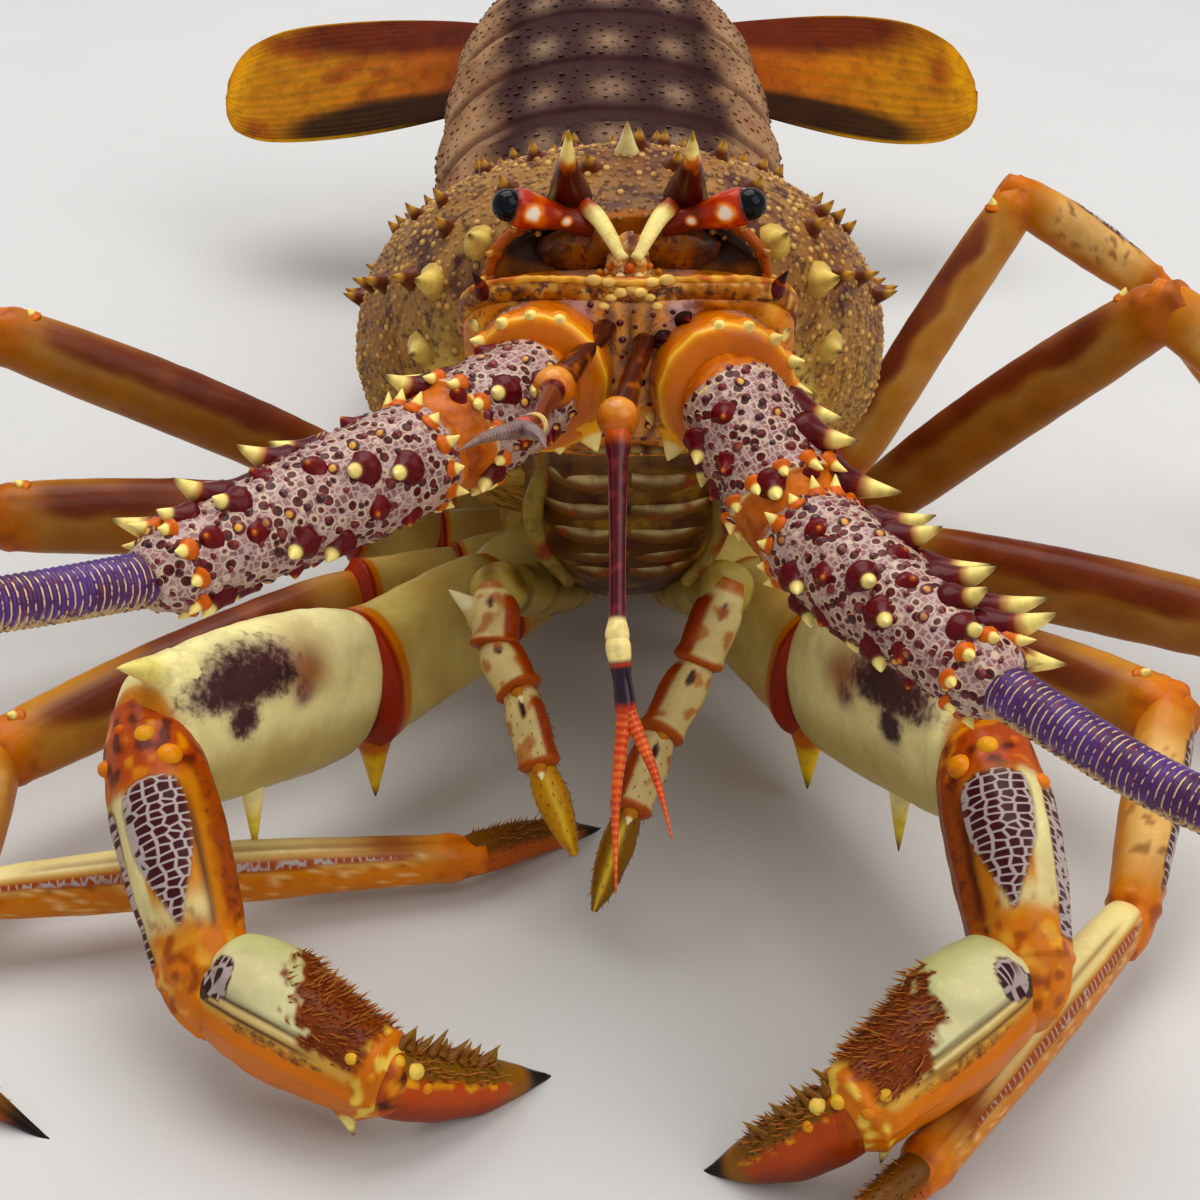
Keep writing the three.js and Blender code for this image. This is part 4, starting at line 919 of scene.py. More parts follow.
def horns():
    """The two horns over the eyes, the spine between them and the V of the rostrum."""
    form = Form()
    for _, side in SIDES:
        path = spline([(side * 7.2, 12.5, 86.5), (side * 7.2, 9, 91), (side * 7.5, 3.4, 96.6),
                       (side * 7.3, -2.2, 103.8)], 48)
        share = np.linspace(0, 1, 48)
        wide = 7.4 * (1 - share) ** 1.15 + 1.5 * (1 - share) ** 0.5
        rings = Rings(path, wide * 0.86 + 0.12, wide * 1.12 + 0.12, 24)
        rings.push(0.12 * rough(rings.grid, 2.0))
        level = rings.share + 0.06 * rough(rings.grid, 1.5, 2)
        inner = smooth(0.5, -0.3, side * rings.facing[..., 0])
        paint = coats(
            wash(rings.grid, "#14080c"),
            ("#4a1008", np.maximum(smooth(0.35, 0.55, level), 0.7 * inner)),
            ("#c46a18", smooth(0.7, 0.76, level)),
            ("yellow", smooth(0.76, 0.82, level)))
        form.skin(rings.grid, over(paint, "#b08a30", smooth(0.92, 0.98, level)))
        ridge = spline([(side * 6.0, 6.5, 91.8), (side * 3.8, 3.0, 91.2), (side * 0.7, -1.3, 87.4)], 24)
        share = np.linspace(0, 1, 24)
        rings = Rings(ridge, 2.9 - 1.3 * share, 2.2 - 0.9 * share, 20)
        paint = over(wash(rings.grid, "#a8400f"), "#eedc94", smooth(0.18, 0.4, rings.reach))
        form.skin(rings.grid, paint)
        brow = spline([(side * 8.5, 6.5, 90.4), (side * 13, 5.6, 89.2), (side * 16.4, 4.6, 86.4),
                       (side * 17.6, 4.2, 82.5)], 30)
        form.skin(Rings(brow, np.linspace(1.7, 1.2, 30), np.linspace(1.7, 1.2, 30), 14).grid, "#a4571c")
        for share, tall in ((0.42, 1.7), (0.74, 2.2), (0.97, 2.0)):
            form.thorn(brow[int(share * 29)], (side * 0.7, -1, 0.55 - share * 0.5), tall, 0.7, 0.2,
                       foot="#a4571c", point="#e0b060")
        pad = sphere(40, 24) * (5.4, 2.0, 2.9) + (side * 6.0, 5.4, 86.4)
        pad += rough(pad, 1.5, 3)[..., None] * 0.3
        paint = over(wash(pad, "#9a5c1e"), "#4a2c1c",
                     smooth(6.0, 10.0, np.abs(pad[..., 0]) + rough(pad, 2.0, 4)))
        form.skin(pad, over(paint, "#7a3c12", smooth(0.1, 0.4, rough(pad, 1.2, 5))), speck=0.7)
        for x, y, z, size, key in ((1.3, -0.9, 87.0, 0.7, "#e2bc78"), (2.4, -0.3, 86.2, 0.55, "#c07028"),
                                   (1.1, -1.6, 85.3, 0.65, "#ecd09a"), (2.4, -1.0, 84.8, 0.6, "#d8a458"),
                                   (3.6, 0.3, 85.2, 0.5, "#c07c30"), (1.5, -2.0, 83.8, 0.6, "#e6c07c")):
            form.ball((side * x, y, z), (size, size * 0.8, size * 0.9), 14, 9, paint=key)
    pad = sphere(50, 36) * (2.9, 2.4, 4.8) + (0, 1.0, 85.2)
    pad += rough(pad, 1.0, 3)[..., None] * np.array([0.6, 0.5, 0.3])
    paint = coats(
        wash(pad, "#c48a48"),
        ("#7c3c14", smooth(0.0, 0.25, rough(pad, 1.3, 5))),
        ("#f0d8a0", smooth(0.05, 0.3, rough(pad, 0.8, 6))))
    form.skin(pad, over(paint, "#5a2010", 0.8 * hump(pad[..., 0], 0, 0.5) * (pad[..., 2] > 85.5)))
    form.thorn((0.2, 23, 91.6), (0, -3.5, 5.6), 6.3, 1.9, 0.2, foot="#c2aa78", point="#efe0a2", change=0.3,
               end="#b08a30")
    for y, z, size, key in ((-1.5, 86.4, 0.7, "#b85a1c"), (-1.9, 84.7, 0.6, "#e6c070")):
        form.ball((0, y, z), (size, size, size), 14, 10, paint=key)
    return form.piece("horns", "head_shell", slot="shell")


HEAD_PLATE = [[-5.5, 15, 84.5, 76, 63], [-3.5, 19, 86, 77, 62], [0, 20.5, 84.5, 78, 61],
              [4.7, 19.5, 84, 79, 62]]


def head_plate(seed):
    """The plate between the antennae, lilac with dark upright stripes in its middle."""
    grid = hull(HEAD_PLATE, np.linspace(-5.5, 4.7, 30), 120, 2.8, [
        0.03, 0.12, 0.21, 0.3, 0.39, 0.48, 0.57, 0.66, 0.75, 0.83, 0.9, 0.95, 0.98])[0]
    x, _, z = grid.transpose(2, 0, 1).copy()
    shield = smooth(9.0, 7.0, np.abs(x)) * smooth(64, 67, z) * smooth(84.6, 83.4, z)
    front = smooth(-4.0, -5.2, grid[..., 1])
    grid[..., 1] += front * (-0.9 * shield * (1 - (x / 9) ** 2) + 1.2 * (1 - shield) * smooth(83.5, 81, z))
    grid[..., 1] += front * 0.5 * hump(x, 0, 0.5) * shield
    stripes = smooth(-0.2, 0.6, np.cos(x * 2.5 + 0.6 * rough(grid, 4.0, 2)) + 0.5 * rough(grid, 2.0, 3))
    paint = over(wash(grid, "#cc7e30"), "#e8ac50", 0.6 * smooth(0.0, 0.5, rough(grid, 3.0)))
    middle = smooth(5.2, 4.0, np.abs(x))
    paint = coats(
        paint, ("#dcb2ac", shield),
        ("#e09a44", 0.9 * shield * middle),
        ("#4c160e", 0.85 * shield * stripes * (0.15 + 0.75 * middle)))
    form = Form().skin(grid, paint, dots=0.2 * shield, speck=0.5, bumpy=shield * front)
    made = form.piece("head_shell", "head_shell", "head_plate", slot="orange")
    return [made, bumps(made, "head_tubercles", "tubercles", spacing=0.0019, smallest=0.0003,
                        largest=0.0007, tallness=0.9, lean=(0.0, -0.3, 0.0), seed=seed)]


def head_ridge():
    """Cream edge along the top of the head plate, over an orange-brown band, with its arch and spines."""
    form = Form()
    path = spline([(-20.6, 2.0, 78.5), (-19.8, -1.0, 83.0), (-16.6, -3.4, 85.4), (-9, -5.0, 86.4),
                   (-3.4, -5.3, 86.2), (0, -5.4, 86.0), (3.4, -5.3, 86.2), (9, -5.0, 86.4),
                   (16.6, -3.4, 85.4), (19.8, -1.0, 83.0), (20.6, 2.0, 78.5)], 200)
    rings = Rings(path, 1.0, 0.9, 12)
    rings.push(0.2 * rough(rings.grid, 1.2))
    paint = over(wash(rings.grid, "#dba24a"), "#b8641c", smooth(0.0, 0.4, rough(rings.grid, 2.0, 4)))
    form.skin(rings.grid, paint)
    rings = Rings(path + (0, -0.1, -1.4), 1.4, 2.5, 16)
    rings.push(0.15 * rough(rings.grid, 1.2, 6))
    paint = coats(
        wash(rings.grid, "#b27028"),
        ("#6e3414", 0.8 * smooth(0.0, 0.4, rough(rings.grid, 1.6, 5))),
        ("#dcae64", 0.7 * smooth(0.1, 0.4, rough(rings.grid, 1.2, 7))))
    form.skin(rings.grid, paint, speck=0.8)
    for _, side in SIDES:
        for x, y, z, size in ((0.0, -6.0, 85.3, 0.55), (1.2, -6.1, 85.1, 0.6), (2.3, -6.2, 84.5, 0.5),
                              (3.2, -6.2, 83.4, 0.5), (2.6, -5.8, 86.3, 0.6), (4.4, -5.6, 86.5, 0.7)):
            form.ball((side * x, y, z), (size * 1.5, size, size), 12, 8, paint="#ecc878")
        form.thorn((side * 5.6, -5.9, 73.4), (side * 0.2, -1, -0.1), 3.4, 1.1, foot="#d89a4a", change=0.3)
        form.thorn((side * 2.4, -6.2, 69.4), (side * 0.25, -1, -0.4), 2.6, 0.9, foot="#d89a4a", change=0.3)
        for x, y, z, tall in ((6.6, -5.9, 81.6, 1.9), (4.2, -6.4, 79.2, 1.5), (7.4, -5.4, 76.6, 1.4)):
            form.thorn((side * x, y, z), (side * 0.25, -1, 0.25), tall, 1.0, foot="#2e0c12", point="maroon",
                       end="#7a2a20")
        form.thorn((side * 17.8, -3.2, 84.4), (side * 0.4, -0.5, 1), 3.4, 0.9, point="#2a0c10",
                   end="#1c080c")
    return form.piece("head_ridge", "head_shell", slot="orange")


def eyes():
    """Stalks and corneas."""
    made = []
    cornea = bpy.context.scene.lobster_sizes.cornea * 1000
    for name, side in SIDES:
        centre = np.array([side * 14.7, 2, 93.2])
        root = np.array([side * 4.6, 5, 89.6])
        stalk = Form()
        rings = segment(root, centre, [[0, 3.2, 3.2], [0.3, 3.1, 3.1], [0.5, 3.6, 3.6], [0.78, 4.7, 4.7],
                                       [0.93, 4.4, 4.4], [1.0, 3.0, 3.0]], 60, 64)
        rings.push(0.12 * rough(rings.grid, 1.4))
        glint = near(rings.grid, root + (centre - root) * 0.7 + (0, -2.0, 0.4), (1.3, 1.6, 1.2))
        second = near(rings.grid, root + (centre - root) * 0.3 + (0, -1.5, 0.2), (0.8, 1.2, 0.7))
        paint = coats(
            wash(rings.grid, "#b43c0a"),
            ("#d4661a", smooth(0.0, 0.5, rough(rings.grid, 1.8, 2))),
            ("#6a2008", 0.9 * smooth(0.66, 0.35, rings.share + 0.1 * rough(rings.grid, 1.5, 7))))
        glint = glint + 0.12 * rough(rings.grid, 0.8, 5)
        paint = coats(
            paint, ("#ee8c28", smooth(0.2, 0.5, np.maximum(glint, 0.85 * second))),
            ("#fdf0dc", smooth(0.45, 0.75, np.maximum(glint, 0.85 * second))),
            ("#3a140c", smooth(0.9, 0.97, rings.reach)))
        stalk.skin(rings.grid, paint)
        made.append(stalk.piece(f"eye_stalk_{name}", "smooth_shell", f"eye_stalk_{name}",
                                slot="orange"))
        ball = Form().ball(centre, (cornea,) * 3, 40, 28, paint="#020305")
        made.append(ball.piece(f"cornea_{name}", "cornea", f"eye_{name}", slot="eye"))
    return made


# Antennae


FOURTH = [[-0.14, 9, 9], [0, 12, 12], [0.12, 13, 13], [0.35, 13.6, 13.6], [0.68, 13.4, 13.4],
          [0.76, 13.9, 13.9], [0.8, 12.9, 12.9], [0.92, 12.4, 12.4], [1.0, 11.2, 11.2], [1.1, 8, 8]]
FIFTH = [[-0.12, 7.5, 7.5], [-0.03, 11.6, 11.6], [0.05, 12.6, 12.6], [0.2, 13, 13], [0.6, 11.4, 11.4],
         [0.88, 9.6, 9.6], [0.95, 9.3, 9.3], [1.0, 7.6, 7.6], [1.03, 6.7, 6.7]]
FOURTH_CORE = [[-0.2, 8], [-0.02, 12.5], [0.3, 13.6], [0.8, 13], [1.0, 11.5], [1.15, 7]]
FIFTH_CORE = [[-0.12, 7], [0.02, 11.8], [0.2, 13], [0.6, 11.2], [0.92, 9], [1.0, 7.4], [1.03, 6.6]]


def antenna_spines(form, start, end, core, rows, longest, seed):
    """Rings of spines, on the same places as the solid ones; the outer ones are the longest."""
    draw, start, end = draws(seed), np.array(start, float), np.array(end, float)
    along = end - start
    side = unit(np.cross(along, UP))
    above = unit(np.cross(side, along))
    width = table(core)
    for row in range(rows):
        share = 0.14 + 0.78 * (row + 0.5) / rows
        for i in range(7):
            angle = 2 * math.pi * (i + 0.5 * (row % 2) + 0.3 * (next(draw) - 0.5)) / 7
            out = side * math.cos(angle) + above * math.sin(angle)
            root = start + along * share + out * (width(share)[0] / 2 - 0.45)
            outer = max(0.0, out @ np.array([math.copysign(1, end[0]), 0, 0.35]))
            tall = 1.1 + longest * outer**3 * (0.4 + 0.6 * share) + 0.9 * next(draw)
            if tall > 2.9:
                form.thorn(root, out * 0.9 + unit(along), tall * 1.2 + 1.0, 1.35 + 0.13 * tall, 0.12,
                           change=0.48, sides=18)
            elif (row + i) % 3 == 0:
                form.thorn(root, out * 0.7 + unit(along), 3.4, 1.6, 0.1, foot="#5a1014", change=0.56,
                           sides=18, end="#f4e4a4")
            elif (row + i) % 3 == 1:
                form.thorn(root, out + unit(along) * 0.5, 1.7, 1.35, 0.1, foot="#641418", point="#7c1e16",
                           change=0.7, end="#c8803c", sides=18)


def antenna_base(name, seed):
    """Smooth caramel root with a bright yellow-orange rim."""
    form = Form()
    shoulder, root = np.array(ANTENNAE[name]["base"], float)
    side = math.copysign(1, root[0])
    rings = segment(shoulder, root, [[-0.1, 12, 13], [0.1, 15, 15.6], [0.3, 16.4, 17.2], [0.62, 17, 17.8],
                                     [0.86, 17.2, 17.8], [0.95, 17.0, 17.5], [1.0, 16.2, 16.6],
                                     [1.03, 14.6, 15], [1.045, 12, 12.4]], 110, 120)
    share = rings.reach
    ripple = 0.1 * np.sin(rings.angle * 13) * hump(share, 0.96, 0.04)
    rings.push(ripple + 0.12 * rough(rings.grid, 4.0, seed))
    outer = smooth(0.1, 0.7, side * rings.facing[..., 0] + 0.2 * rings.facing[..., 2])
    paint = coats(
        wash(rings.grid, "caramel"),
        ("#a45618", 0.7 * smooth(0.0, 0.6, rough(rings.grid, 7.0, seed))),
        ("#d2821e", smooth(0.9, 0.93, share) * smooth(1.025, 1.01, share)),
        ("#e8b858", hump(share, 0.985, 0.014)),
        ("lilac", 0.8 * outer * smooth(0.84, 0.78, share)))
    form.skin(rings.grid, paint, dots=outer * smooth(0.8, 0.74, share), limb=rings.limb)
    forward = unit(root - shoulder)
    for k in range(15):
        angle = 2 * math.pi * (k + 0.5) / 15
        out = rings.side[-1] * math.cos(angle) + rings.over[-1] * math.sin(angle)
        reach = side * out[0]
        if reach > -0.45:
            form.thorn(root + out * 8.1 - forward * 0.9, out * 0.7 + forward, 1.5 + 1.8 * max(0.0, reach),
                       1.1, foot="#d88424", change=0.35, end="yellow")
    form.thorn(root + (-side * 6.0, 0.4, -6.0), (-side * 0.5, -0.7, -1.0), 3.0, 2.0, foot="#eaa63c",
               point="#f6df96", change=0.35, end="#f6df96")
    for level, lift in ((0.35, 4.0), (0.75, -3.0)):
        at = shoulder + (root - shoulder) * level + (side * 7, 0, lift)
        form.thorn(at, (side, -0.5, 0.6 if lift > 0 else -0.4), 3.4, 1.7, 0.15)
    return form.piece(f"antenna_base_{name}", "smooth_shell", f"antenna_base_{name}", slot="orange")


def antenna_segment(name, part, start, end, rows, seed):
    """A spiny segment; the fourth has a smooth caramel cuff at its far end."""
    form = Form()
    rings = segment(start, end, rows, 90, 110)
    share = rings.reach
    cuff = smooth(0.745, 0.775, share) * (part == "fourth")
    neck = smooth(0.03, -0.01, share)
    bare = np.maximum(cuff, neck)
    rings.push(0.2 * rough(rings.grid, 3.0, seed) * (1 - bare) + 0.1 * rough(rings.grid, 1.0, seed))
    blotches = smooth(-0.1, 0.5, rough(rings.grid, 3.0, seed + 2))
    paint = coats(
        wash(rings.grid, "lilac"),
        ("#7c4c4c", 0.7 * blotches),
        ("#cfae84", 0.75 * smooth(0.2, -0.8, rings.look(UP)) * (1 - blotches)),
        ("#bf6a20", bare),
        ("#8a3c10", 0.7 * bare * smooth(0.1, 0.5, rough(rings.grid, 3.0, seed + 4))),
        ("#f0cf80",
         np.maximum(hump(share, 0.05, 0.012), hump(share, 0.755, 0.01) if part == "fourth" else 0)))
    form.skin(rings.grid, paint, limb=rings.limb, dots=1 - bare, net=0.75 * (1 - bare), bumpy=1 - bare)
    made = form.piece(f"antenna_{part}_{name}", "peduncle_shell", f"antenna_{part}_{name}",
                      slot="peduncle")
    sizes = bpy.context.scene.lobster_sizes
    lean = unit(np.array(end, float) - np.array(start, float)) * 0.5
    return [made, bumps(made, f"antenna_{part}_{name}_tubercles", "tubercles",
                        spacing=sizes.tubercle_spacing, smallest=0.0004, largest=sizes.tubercle_size,
                        tallness=0.55, lean=tuple(lean), scatter=0.2, sides=10, seed=seed)]


def antenna_points(name, seed):
    """The long spines of both segments and the teeth of their cuffs."""
    form = Form()
    shape = ANTENNAE[name]
    root, elbow, wrist = np.array([shape["base"][1], shape["elbow"], shape["wrist"]], float)
    antenna_spines(form, root, elbow, FOURTH_CORE, 3, 5, seed)
    antenna_spines(form, elbow, wrist, FIFTH_CORE, 6, 7, seed + 1)
    for start, end, share, radius, count in ((root, elbow, 0.74, 6.8, 12), (elbow, wrist, 0.04, 6.0, 13),
                                             (elbow, wrist, 0.93, 4.7, 9)):
        along = unit(end - start)
        side = unit(np.cross(along, UP))
        above = np.cross(side, along)
        for k in range(count):
            angle = 2 * math.pi * (k + 0.3) / count
            out = side * math.cos(angle) + above * math.sin(angle)
            tall = 1.5 + 1.8 * max(0.0, math.copysign(1, end[0]) * out[0]) + 0.6 * (k % 2)
            way = -0.4 if share < 0.1 else 1.0
            form.thorn(start + (end - start) * share + out * radius, out * 0.5 + along * way, tall, 0.95,
                       0.1, foot="#c8661c", change=0.35, end="yellow")
    return form.piece(f"antenna_spines_{name}", "spines", slot="peduncle")


def whip(name):
    """The ringed whip, grown along a line of points."""
    shape = ANTENNAE[name]
    elbow, wrist = np.array(shape["elbow"], float), np.array(shape["wrist"], float)
    start = wrist + unit(wrist - elbow) * 0.2
    points = (spline([start, *shape["sweep"]], 160) + HOME) / 1000
    line = bpy.data.meshes.new(f"line_{name}")
    line.from_pydata(points.tolist(), [(i, i + 1) for i in range(len(points) - 1)], [])
    made = placed(f"whip_{name}", line)
    sizes = bpy.context.scene.lobster_sizes
    made.data = grown(made, "Whip", Pitch=sizes.ring_pitch, Base=sizes.whip_base, Tip=sizes.whip_tip,
                      Finish=finish_of("whip"))
    made["nodes"] = [f"flagellum_{name}_{k}" for k in (1, 2, 3)]
    made["finish_slot"] = "flagellum"
    return made


def antennule(name):
    """Stem, ball, glossy shaft and a pair of short whips."""
    form = Form()
    root, ball, far, end = np.array(ANTENNULES[name], float)
    stem = segment(root, ball, [[0, 3, 3], [0.5, 2.5, 2.5], [0.8, 3.4, 3.4], [1, 4, 4]], 24, 20)
    paint = over(wash(stem.grid, "#4a1c10"), "#b4642a", 0.8 * smooth(0.1, 0.5, rough(stem.grid, 1.8)))
    form.skin(stem.grid, paint)
    shell = sphere(36, 24)
    # Painted light on the top of the ball and painted shade beneath it.
    paint = over(wash(shell, "#c06a22"), "#dc9a50", 0.8 * smooth(0.2, 0.9, shell[..., 2]))
    form.skin(shell * 2.5 + ball, over(paint, "#8a2c10", smooth(-0.2, -0.8, shell[..., 2])))
    shaft = segment(ball, far, [[0, 2.8, 2.8], [0.12, 3.1, 3.1], [0.22, 2.3, 2.3], [0.9, 2.0, 2.0],
                                [0.98, 2.8, 2.8], [1.02, 2.2, 2.2]], 28, 80)
    share = shaft.reach
    paint = coats(
        wash(shaft.grid, "#4e0c16"),
        ("#7c2a34", 0.6 * smooth(0.0, 0.5, rough(shaft.grid, 1.2))),
        ("#c45c20", smooth(0.16, 0.08, share)))
    form.skin(shaft.grid, over(paint, "#f0dc9a", smooth(0.9, 0.93, share)))
    last = segment(far, end, [[-0.02, 2.5, 2.5], [0.1, 2.9, 2.9], [0.5, 2.2, 2.2], [0.92, 2.4, 2.4],
                              [1.04, 1.7, 1.7]], 28, 50)
    share = last.reach
    paint = coats(
        wash(last.grid, "#271024"),
        ("#f0dc9a", smooth(0.32, 0.24, share)),
        ("#b0401c", hump(share, 0.33, 0.03)))
    form.skin(last.grid, over(paint, "#c8481a", smooth(0.8, 0.95, share)))
    reach = unit(end - far)
    dim, pale = ("#c8481a", "#e0824a") if name == "left" else ("#7c5e58", "#a08c8c")
    for way in (-1, 1):
        tip = end + reach * (15 - 3 * way) + (way * 3.5, -3.5, 0)
        path = spline([end - reach, (end + tip) / 2 + (way * 0.6, 0.4, 0), tip], 70)
        share = np.linspace(0, 1, 70)
        width = (1.8 * (1 - share) + 0.18) * (1 + 0.07 * np.sin(share * 140))
        rings = Rings(path, width, width, 12)
        paint = over(wash(rings.grid, dim), pale, 0.7 * smooth(0, 0.4, np.sin(rings.share * 140))
                     + 0 * rings.angle)
        form.skin(rings.grid, paint)
    return form.piece(f"antennule_{name}", "feeler", f"antennule_{name}", slot="orange")


# Mouth and maxillipeds


MOUTH = [[-4, 8.5, 66, 61, 56.5], [0, 12, 68, 58, 45], [9, 13.5, 68, 52, 36], [20, 12, 58, 42, 28.5],
         [29, 9, 44, 34, 27]]


def mouth():
    """Epistome, jaws and the bars of the mouth plates, in deep shade under the head; part of that shade is
    painted into their dark brown ground.
    """
    form = Form()
    grid = hull(MOUTH, np.linspace(-4, 29, 70), 90, 2.5)[0]
    grid += rough(grid, 4.0)[..., None] * 0.3
    # The dark brown ground is partly painted shade, from the head above.
    paint = over(wash(grid, "#54300e"), "#8a6424", smooth(0.0, 0.5, rough(grid, 4.0, 2)))
    form.skin(grid, over(paint, "#8a6a3c", smooth(61, 64, grid[..., 2])), speck=0.5)
    rows = [(-3.4, 58.8, 10.5, 2.8), (-2.6, 54.4, 11.5, 2.4), (-1.2, 50.2, 11.0, 2.4),
            (0.6, 46.4, 10.0, 2.3), (2.6, 42.8, 9.0, 2.2)]
    for k, (yy, z, reach, thick) in enumerate(rows):
        for _, side in SIDES:
            path = spline([(side * 0.3, yy - 0.6, z), (side * reach * 0.45, yy - 0.5, z - 0.5),
                           (side * reach * 0.85, yy + 1.2, z + 0.3), (side * reach, yy + 3.2, z + 1.6)], 44)
            share = np.linspace(0, 1, 44)
            size = thick * (0.72 + 0.36 * np.sin(np.pi * share) - 0.25 * share)
            rings = Rings(path, size * 0.9, size, 24)
            rings.push(0.14 * rough(rings.grid, 1.8, k))
            lip = smooth(-0.4, 0.5, rings.look(HIGH)) * smooth(1.0, 0.7, rings.share)
            paint = over(wash(rings.grid, "#6a4416"), "#c8b884" if k else "#dccf9c", lip)
            form.skin(rings.grid, over(paint, "#8a3c14", smooth(0.25, 0.55, rough(rings.grid, 2.4, k))),
                      speck=0.3)
    for _, side in SIDES:
        path = spline([(side * 9.5, 0, 60), (side * 12.2, -1.5, 54), (side * 11, -2.6, 48),
                       (side * 7.5, -2.4, 43)], 44)
        share = np.linspace(0, 1, 44)
        rings = Rings(path, 3.4 - 1.6 * share, 3.0 - 1.5 * share, 24)
        paint = over(wash(rings.grid, "#8a7434"), "#7a3410", smooth(0.0, 0.4, rough(rings.grid, 3.0, 7)))
        form.skin(rings.grid, paint, speck=0.4)
        lip = spline([(side * 0.2, -4.4, 63.6), (side * 5.5, -3.6, 63.0), (side * 10, -1.0, 61.6)], 30)
        rings = Rings(lip, np.full(30, 1.4), np.full(30, 1.2), 14)
        paint = over(wash(rings.grid, "#a88c58"), "#5a2810", smooth(0, 0.4, rough(rings.grid, 2.0)))
        form.skin(rings.grid, paint)
        for x in (1.6, 3.4, 5.4, 7.4):
            form.thorn((side * x, -4.0 + 0.2 * x, 63.4), (0, -0.6, -1), 1.2, 0.5, foot="#c8ae7c",
                       point="#eadcb4", end="#eadcb4")
    return form.piece("mouth", "mouth_shell", "mouth", slot="mouthparts")


def maxilliped(name, seed):
    """Leg-like mouthpart: cream segments with brown-orange panels and a golden bristly end."""
    form = Form()
    joints = np.array(MAXILLIPEDS[name], float)
    side = math.copysign(1, joints[0][0])
    for k, width in enumerate([7.4, 6.6, 6.0, 5.4, 4.4]):
        start, end = joints[k], joints[k + 1]
        last = k == 4
        far = 0.3 if last else 1.0
        rows = [[-0.12, 0.6 * width, 0.6 * width], [0.08, 0.82 * width, 0.82 * width], [0.4, width, width],
                [0.85, width * (0.6 if last else 0.95), width * 0.9], [1.0, width * far, width * far],
                [1.06, width * far * 0.7, width * far * 0.6]]
        rings = segment(start, end, rows, 48, 50, up=np.array([0, 1, 0.2]), power=2.4)
        rings.push(0.12 * rough(rings.grid, 2.0, seed + k))
        share, inner = rings.reach, -side * rings.facing[..., 0]
        if k == 0:
            paint = over(wash(rings.grid, "#a8924c"), "#7a5a24",
                         smooth(0.0, 0.5, rough(rings.grid, 4.0, seed)))
        elif last:
            paint = coats(
                wash(rings.grid, "#c08a1c"),
                ("#6a480e", 0.8 * smooth(0.2, -0.4, rings.facing[..., 1] * side)),
                ("#d8b44c", hump(inner, 0.1, 0.2)))
        else:
            paint = coats(
                wash(rings.grid, "#cdb882"),
                ("#9a7c3c", 0.7 * smooth(0.1, -0.6, rings.facing[..., 2])),
                ("#9a400c", smooth(0.3, 0.5, inner) * smooth(0.1, 0.2, share)),
                ("#a4500f", np.maximum(smooth(0.9, 0.97, share), 0.8 * smooth(0.08, 0.0, share))),
                ("#3c1408", blob(share, inner, (0.3, -0.15), (0.12, 0.16))),
                ("#a4500f", 0.7 * smooth(0.15, 0.4, rough(rings.grid, 2.2, seed + 3 * k))))
        form.skin(rings.grid, paint, hair=1.0 if k >= 3 else 0.0)
    for k in (1, 2, 3):
        along = unit(joints[k + 1] - joints[k])
        form.thorn(joints[k + 1] + (0, -1.8, 0.6), along + (0, -0.6, 0.2), 1.8, 0.8, foot="#b8742c",
                   point="#efe0b0", end="#efe0b0")
    if side < 0:
        form.thorn(joints[1] + (-2.0, -2.2, -2.4), (-0.75, -0.35, 0.9), 6.5, 1.8, foot="#cdb882",
                   point="#e8dcb0", end="#e8dcb0", sides=18)
    made = form.piece(f"maxilliped_{name}", "leg_shell", f"maxilliped_{name}", slot="mouthparts")
    lean = unit(joints[-1] - joints[-2]) * 1.3
    return [made, bumps(made, f"maxilliped_{name}_bristles", "tufts", "hair", spacing=0.0013,
                        smallest=0.00007, largest=0.0001, tallness=9, swell=0.0, lean=tuple(lean), sides=3,
                        seed=seed)]


# Legs


COXA = [[-0.22, 0.9, 0.9], [0.2, 1, 1], [0.8, 1.02, 1], [1.06, 0.86, 0.86]]
ISCHIUM = [[-0.12, 0.72, 0.7], [0.1, 0.92, 0.9], [0.8, 1.0, 1.0], [0.96, 1.06, 1.04], [1.06, 0.85, 0.85]]
MERUS = [[-0.09, 0.62, 0.52], [0.0, 0.8, 0.7], [0.1, 0.93, 0.86], [0.35, 1.0, 0.94], [0.7, 1.0, 0.93],
         [0.88, 1.0, 0.86], [0.97, 0.96, 0.76], [1.02, 0.84, 0.6], [1.06, 0.6, 0.42]]
CARPUS = [[-0.14, 0.55, 0.6], [0.0, 0.82, 0.9], [0.12, 0.92, 1.0], [0.35, 0.97, 1.05], [0.6, 0.94, 1.03],
          [0.85, 0.84, 0.92], [1.0, 0.76, 0.82], [1.12, 0.6, 0.66], [1.2, 0.34, 0.4]]
PROPODUS = [[-0.12, 0.46, 0.42], [0.0, 0.7, 0.68], [0.12, 0.86, 0.86], [0.32, 0.98, 1.0], [0.55, 0.98, 1.0],
            [0.8, 0.88, 0.84], [0.96, 0.8, 0.74], [1.04, 0.62, 0.54]]
DACTYL = [[-0.12, 0.7, 0.7], [0.02, 1.0, 0.96], [0.22, 1.02, 1.0], [0.45, 0.92, 0.92], [0.65, 0.72, 0.74],
          [0.8, 0.5, 0.52], [0.9, 0.32, 0.34], [1.0, 0.14, 0.15], [1.04, 0.06, 0.06]]
SHAPES = [COXA, ISCHIUM, MERUS, CARPUS, PROPODUS, DACTYL]
BOWS = {"leg1": [0, 0, 1.0, 1.2, 0.4, -0.9], "other": [0, 0, 0.8, 0.4, 0.6, 0.8]}


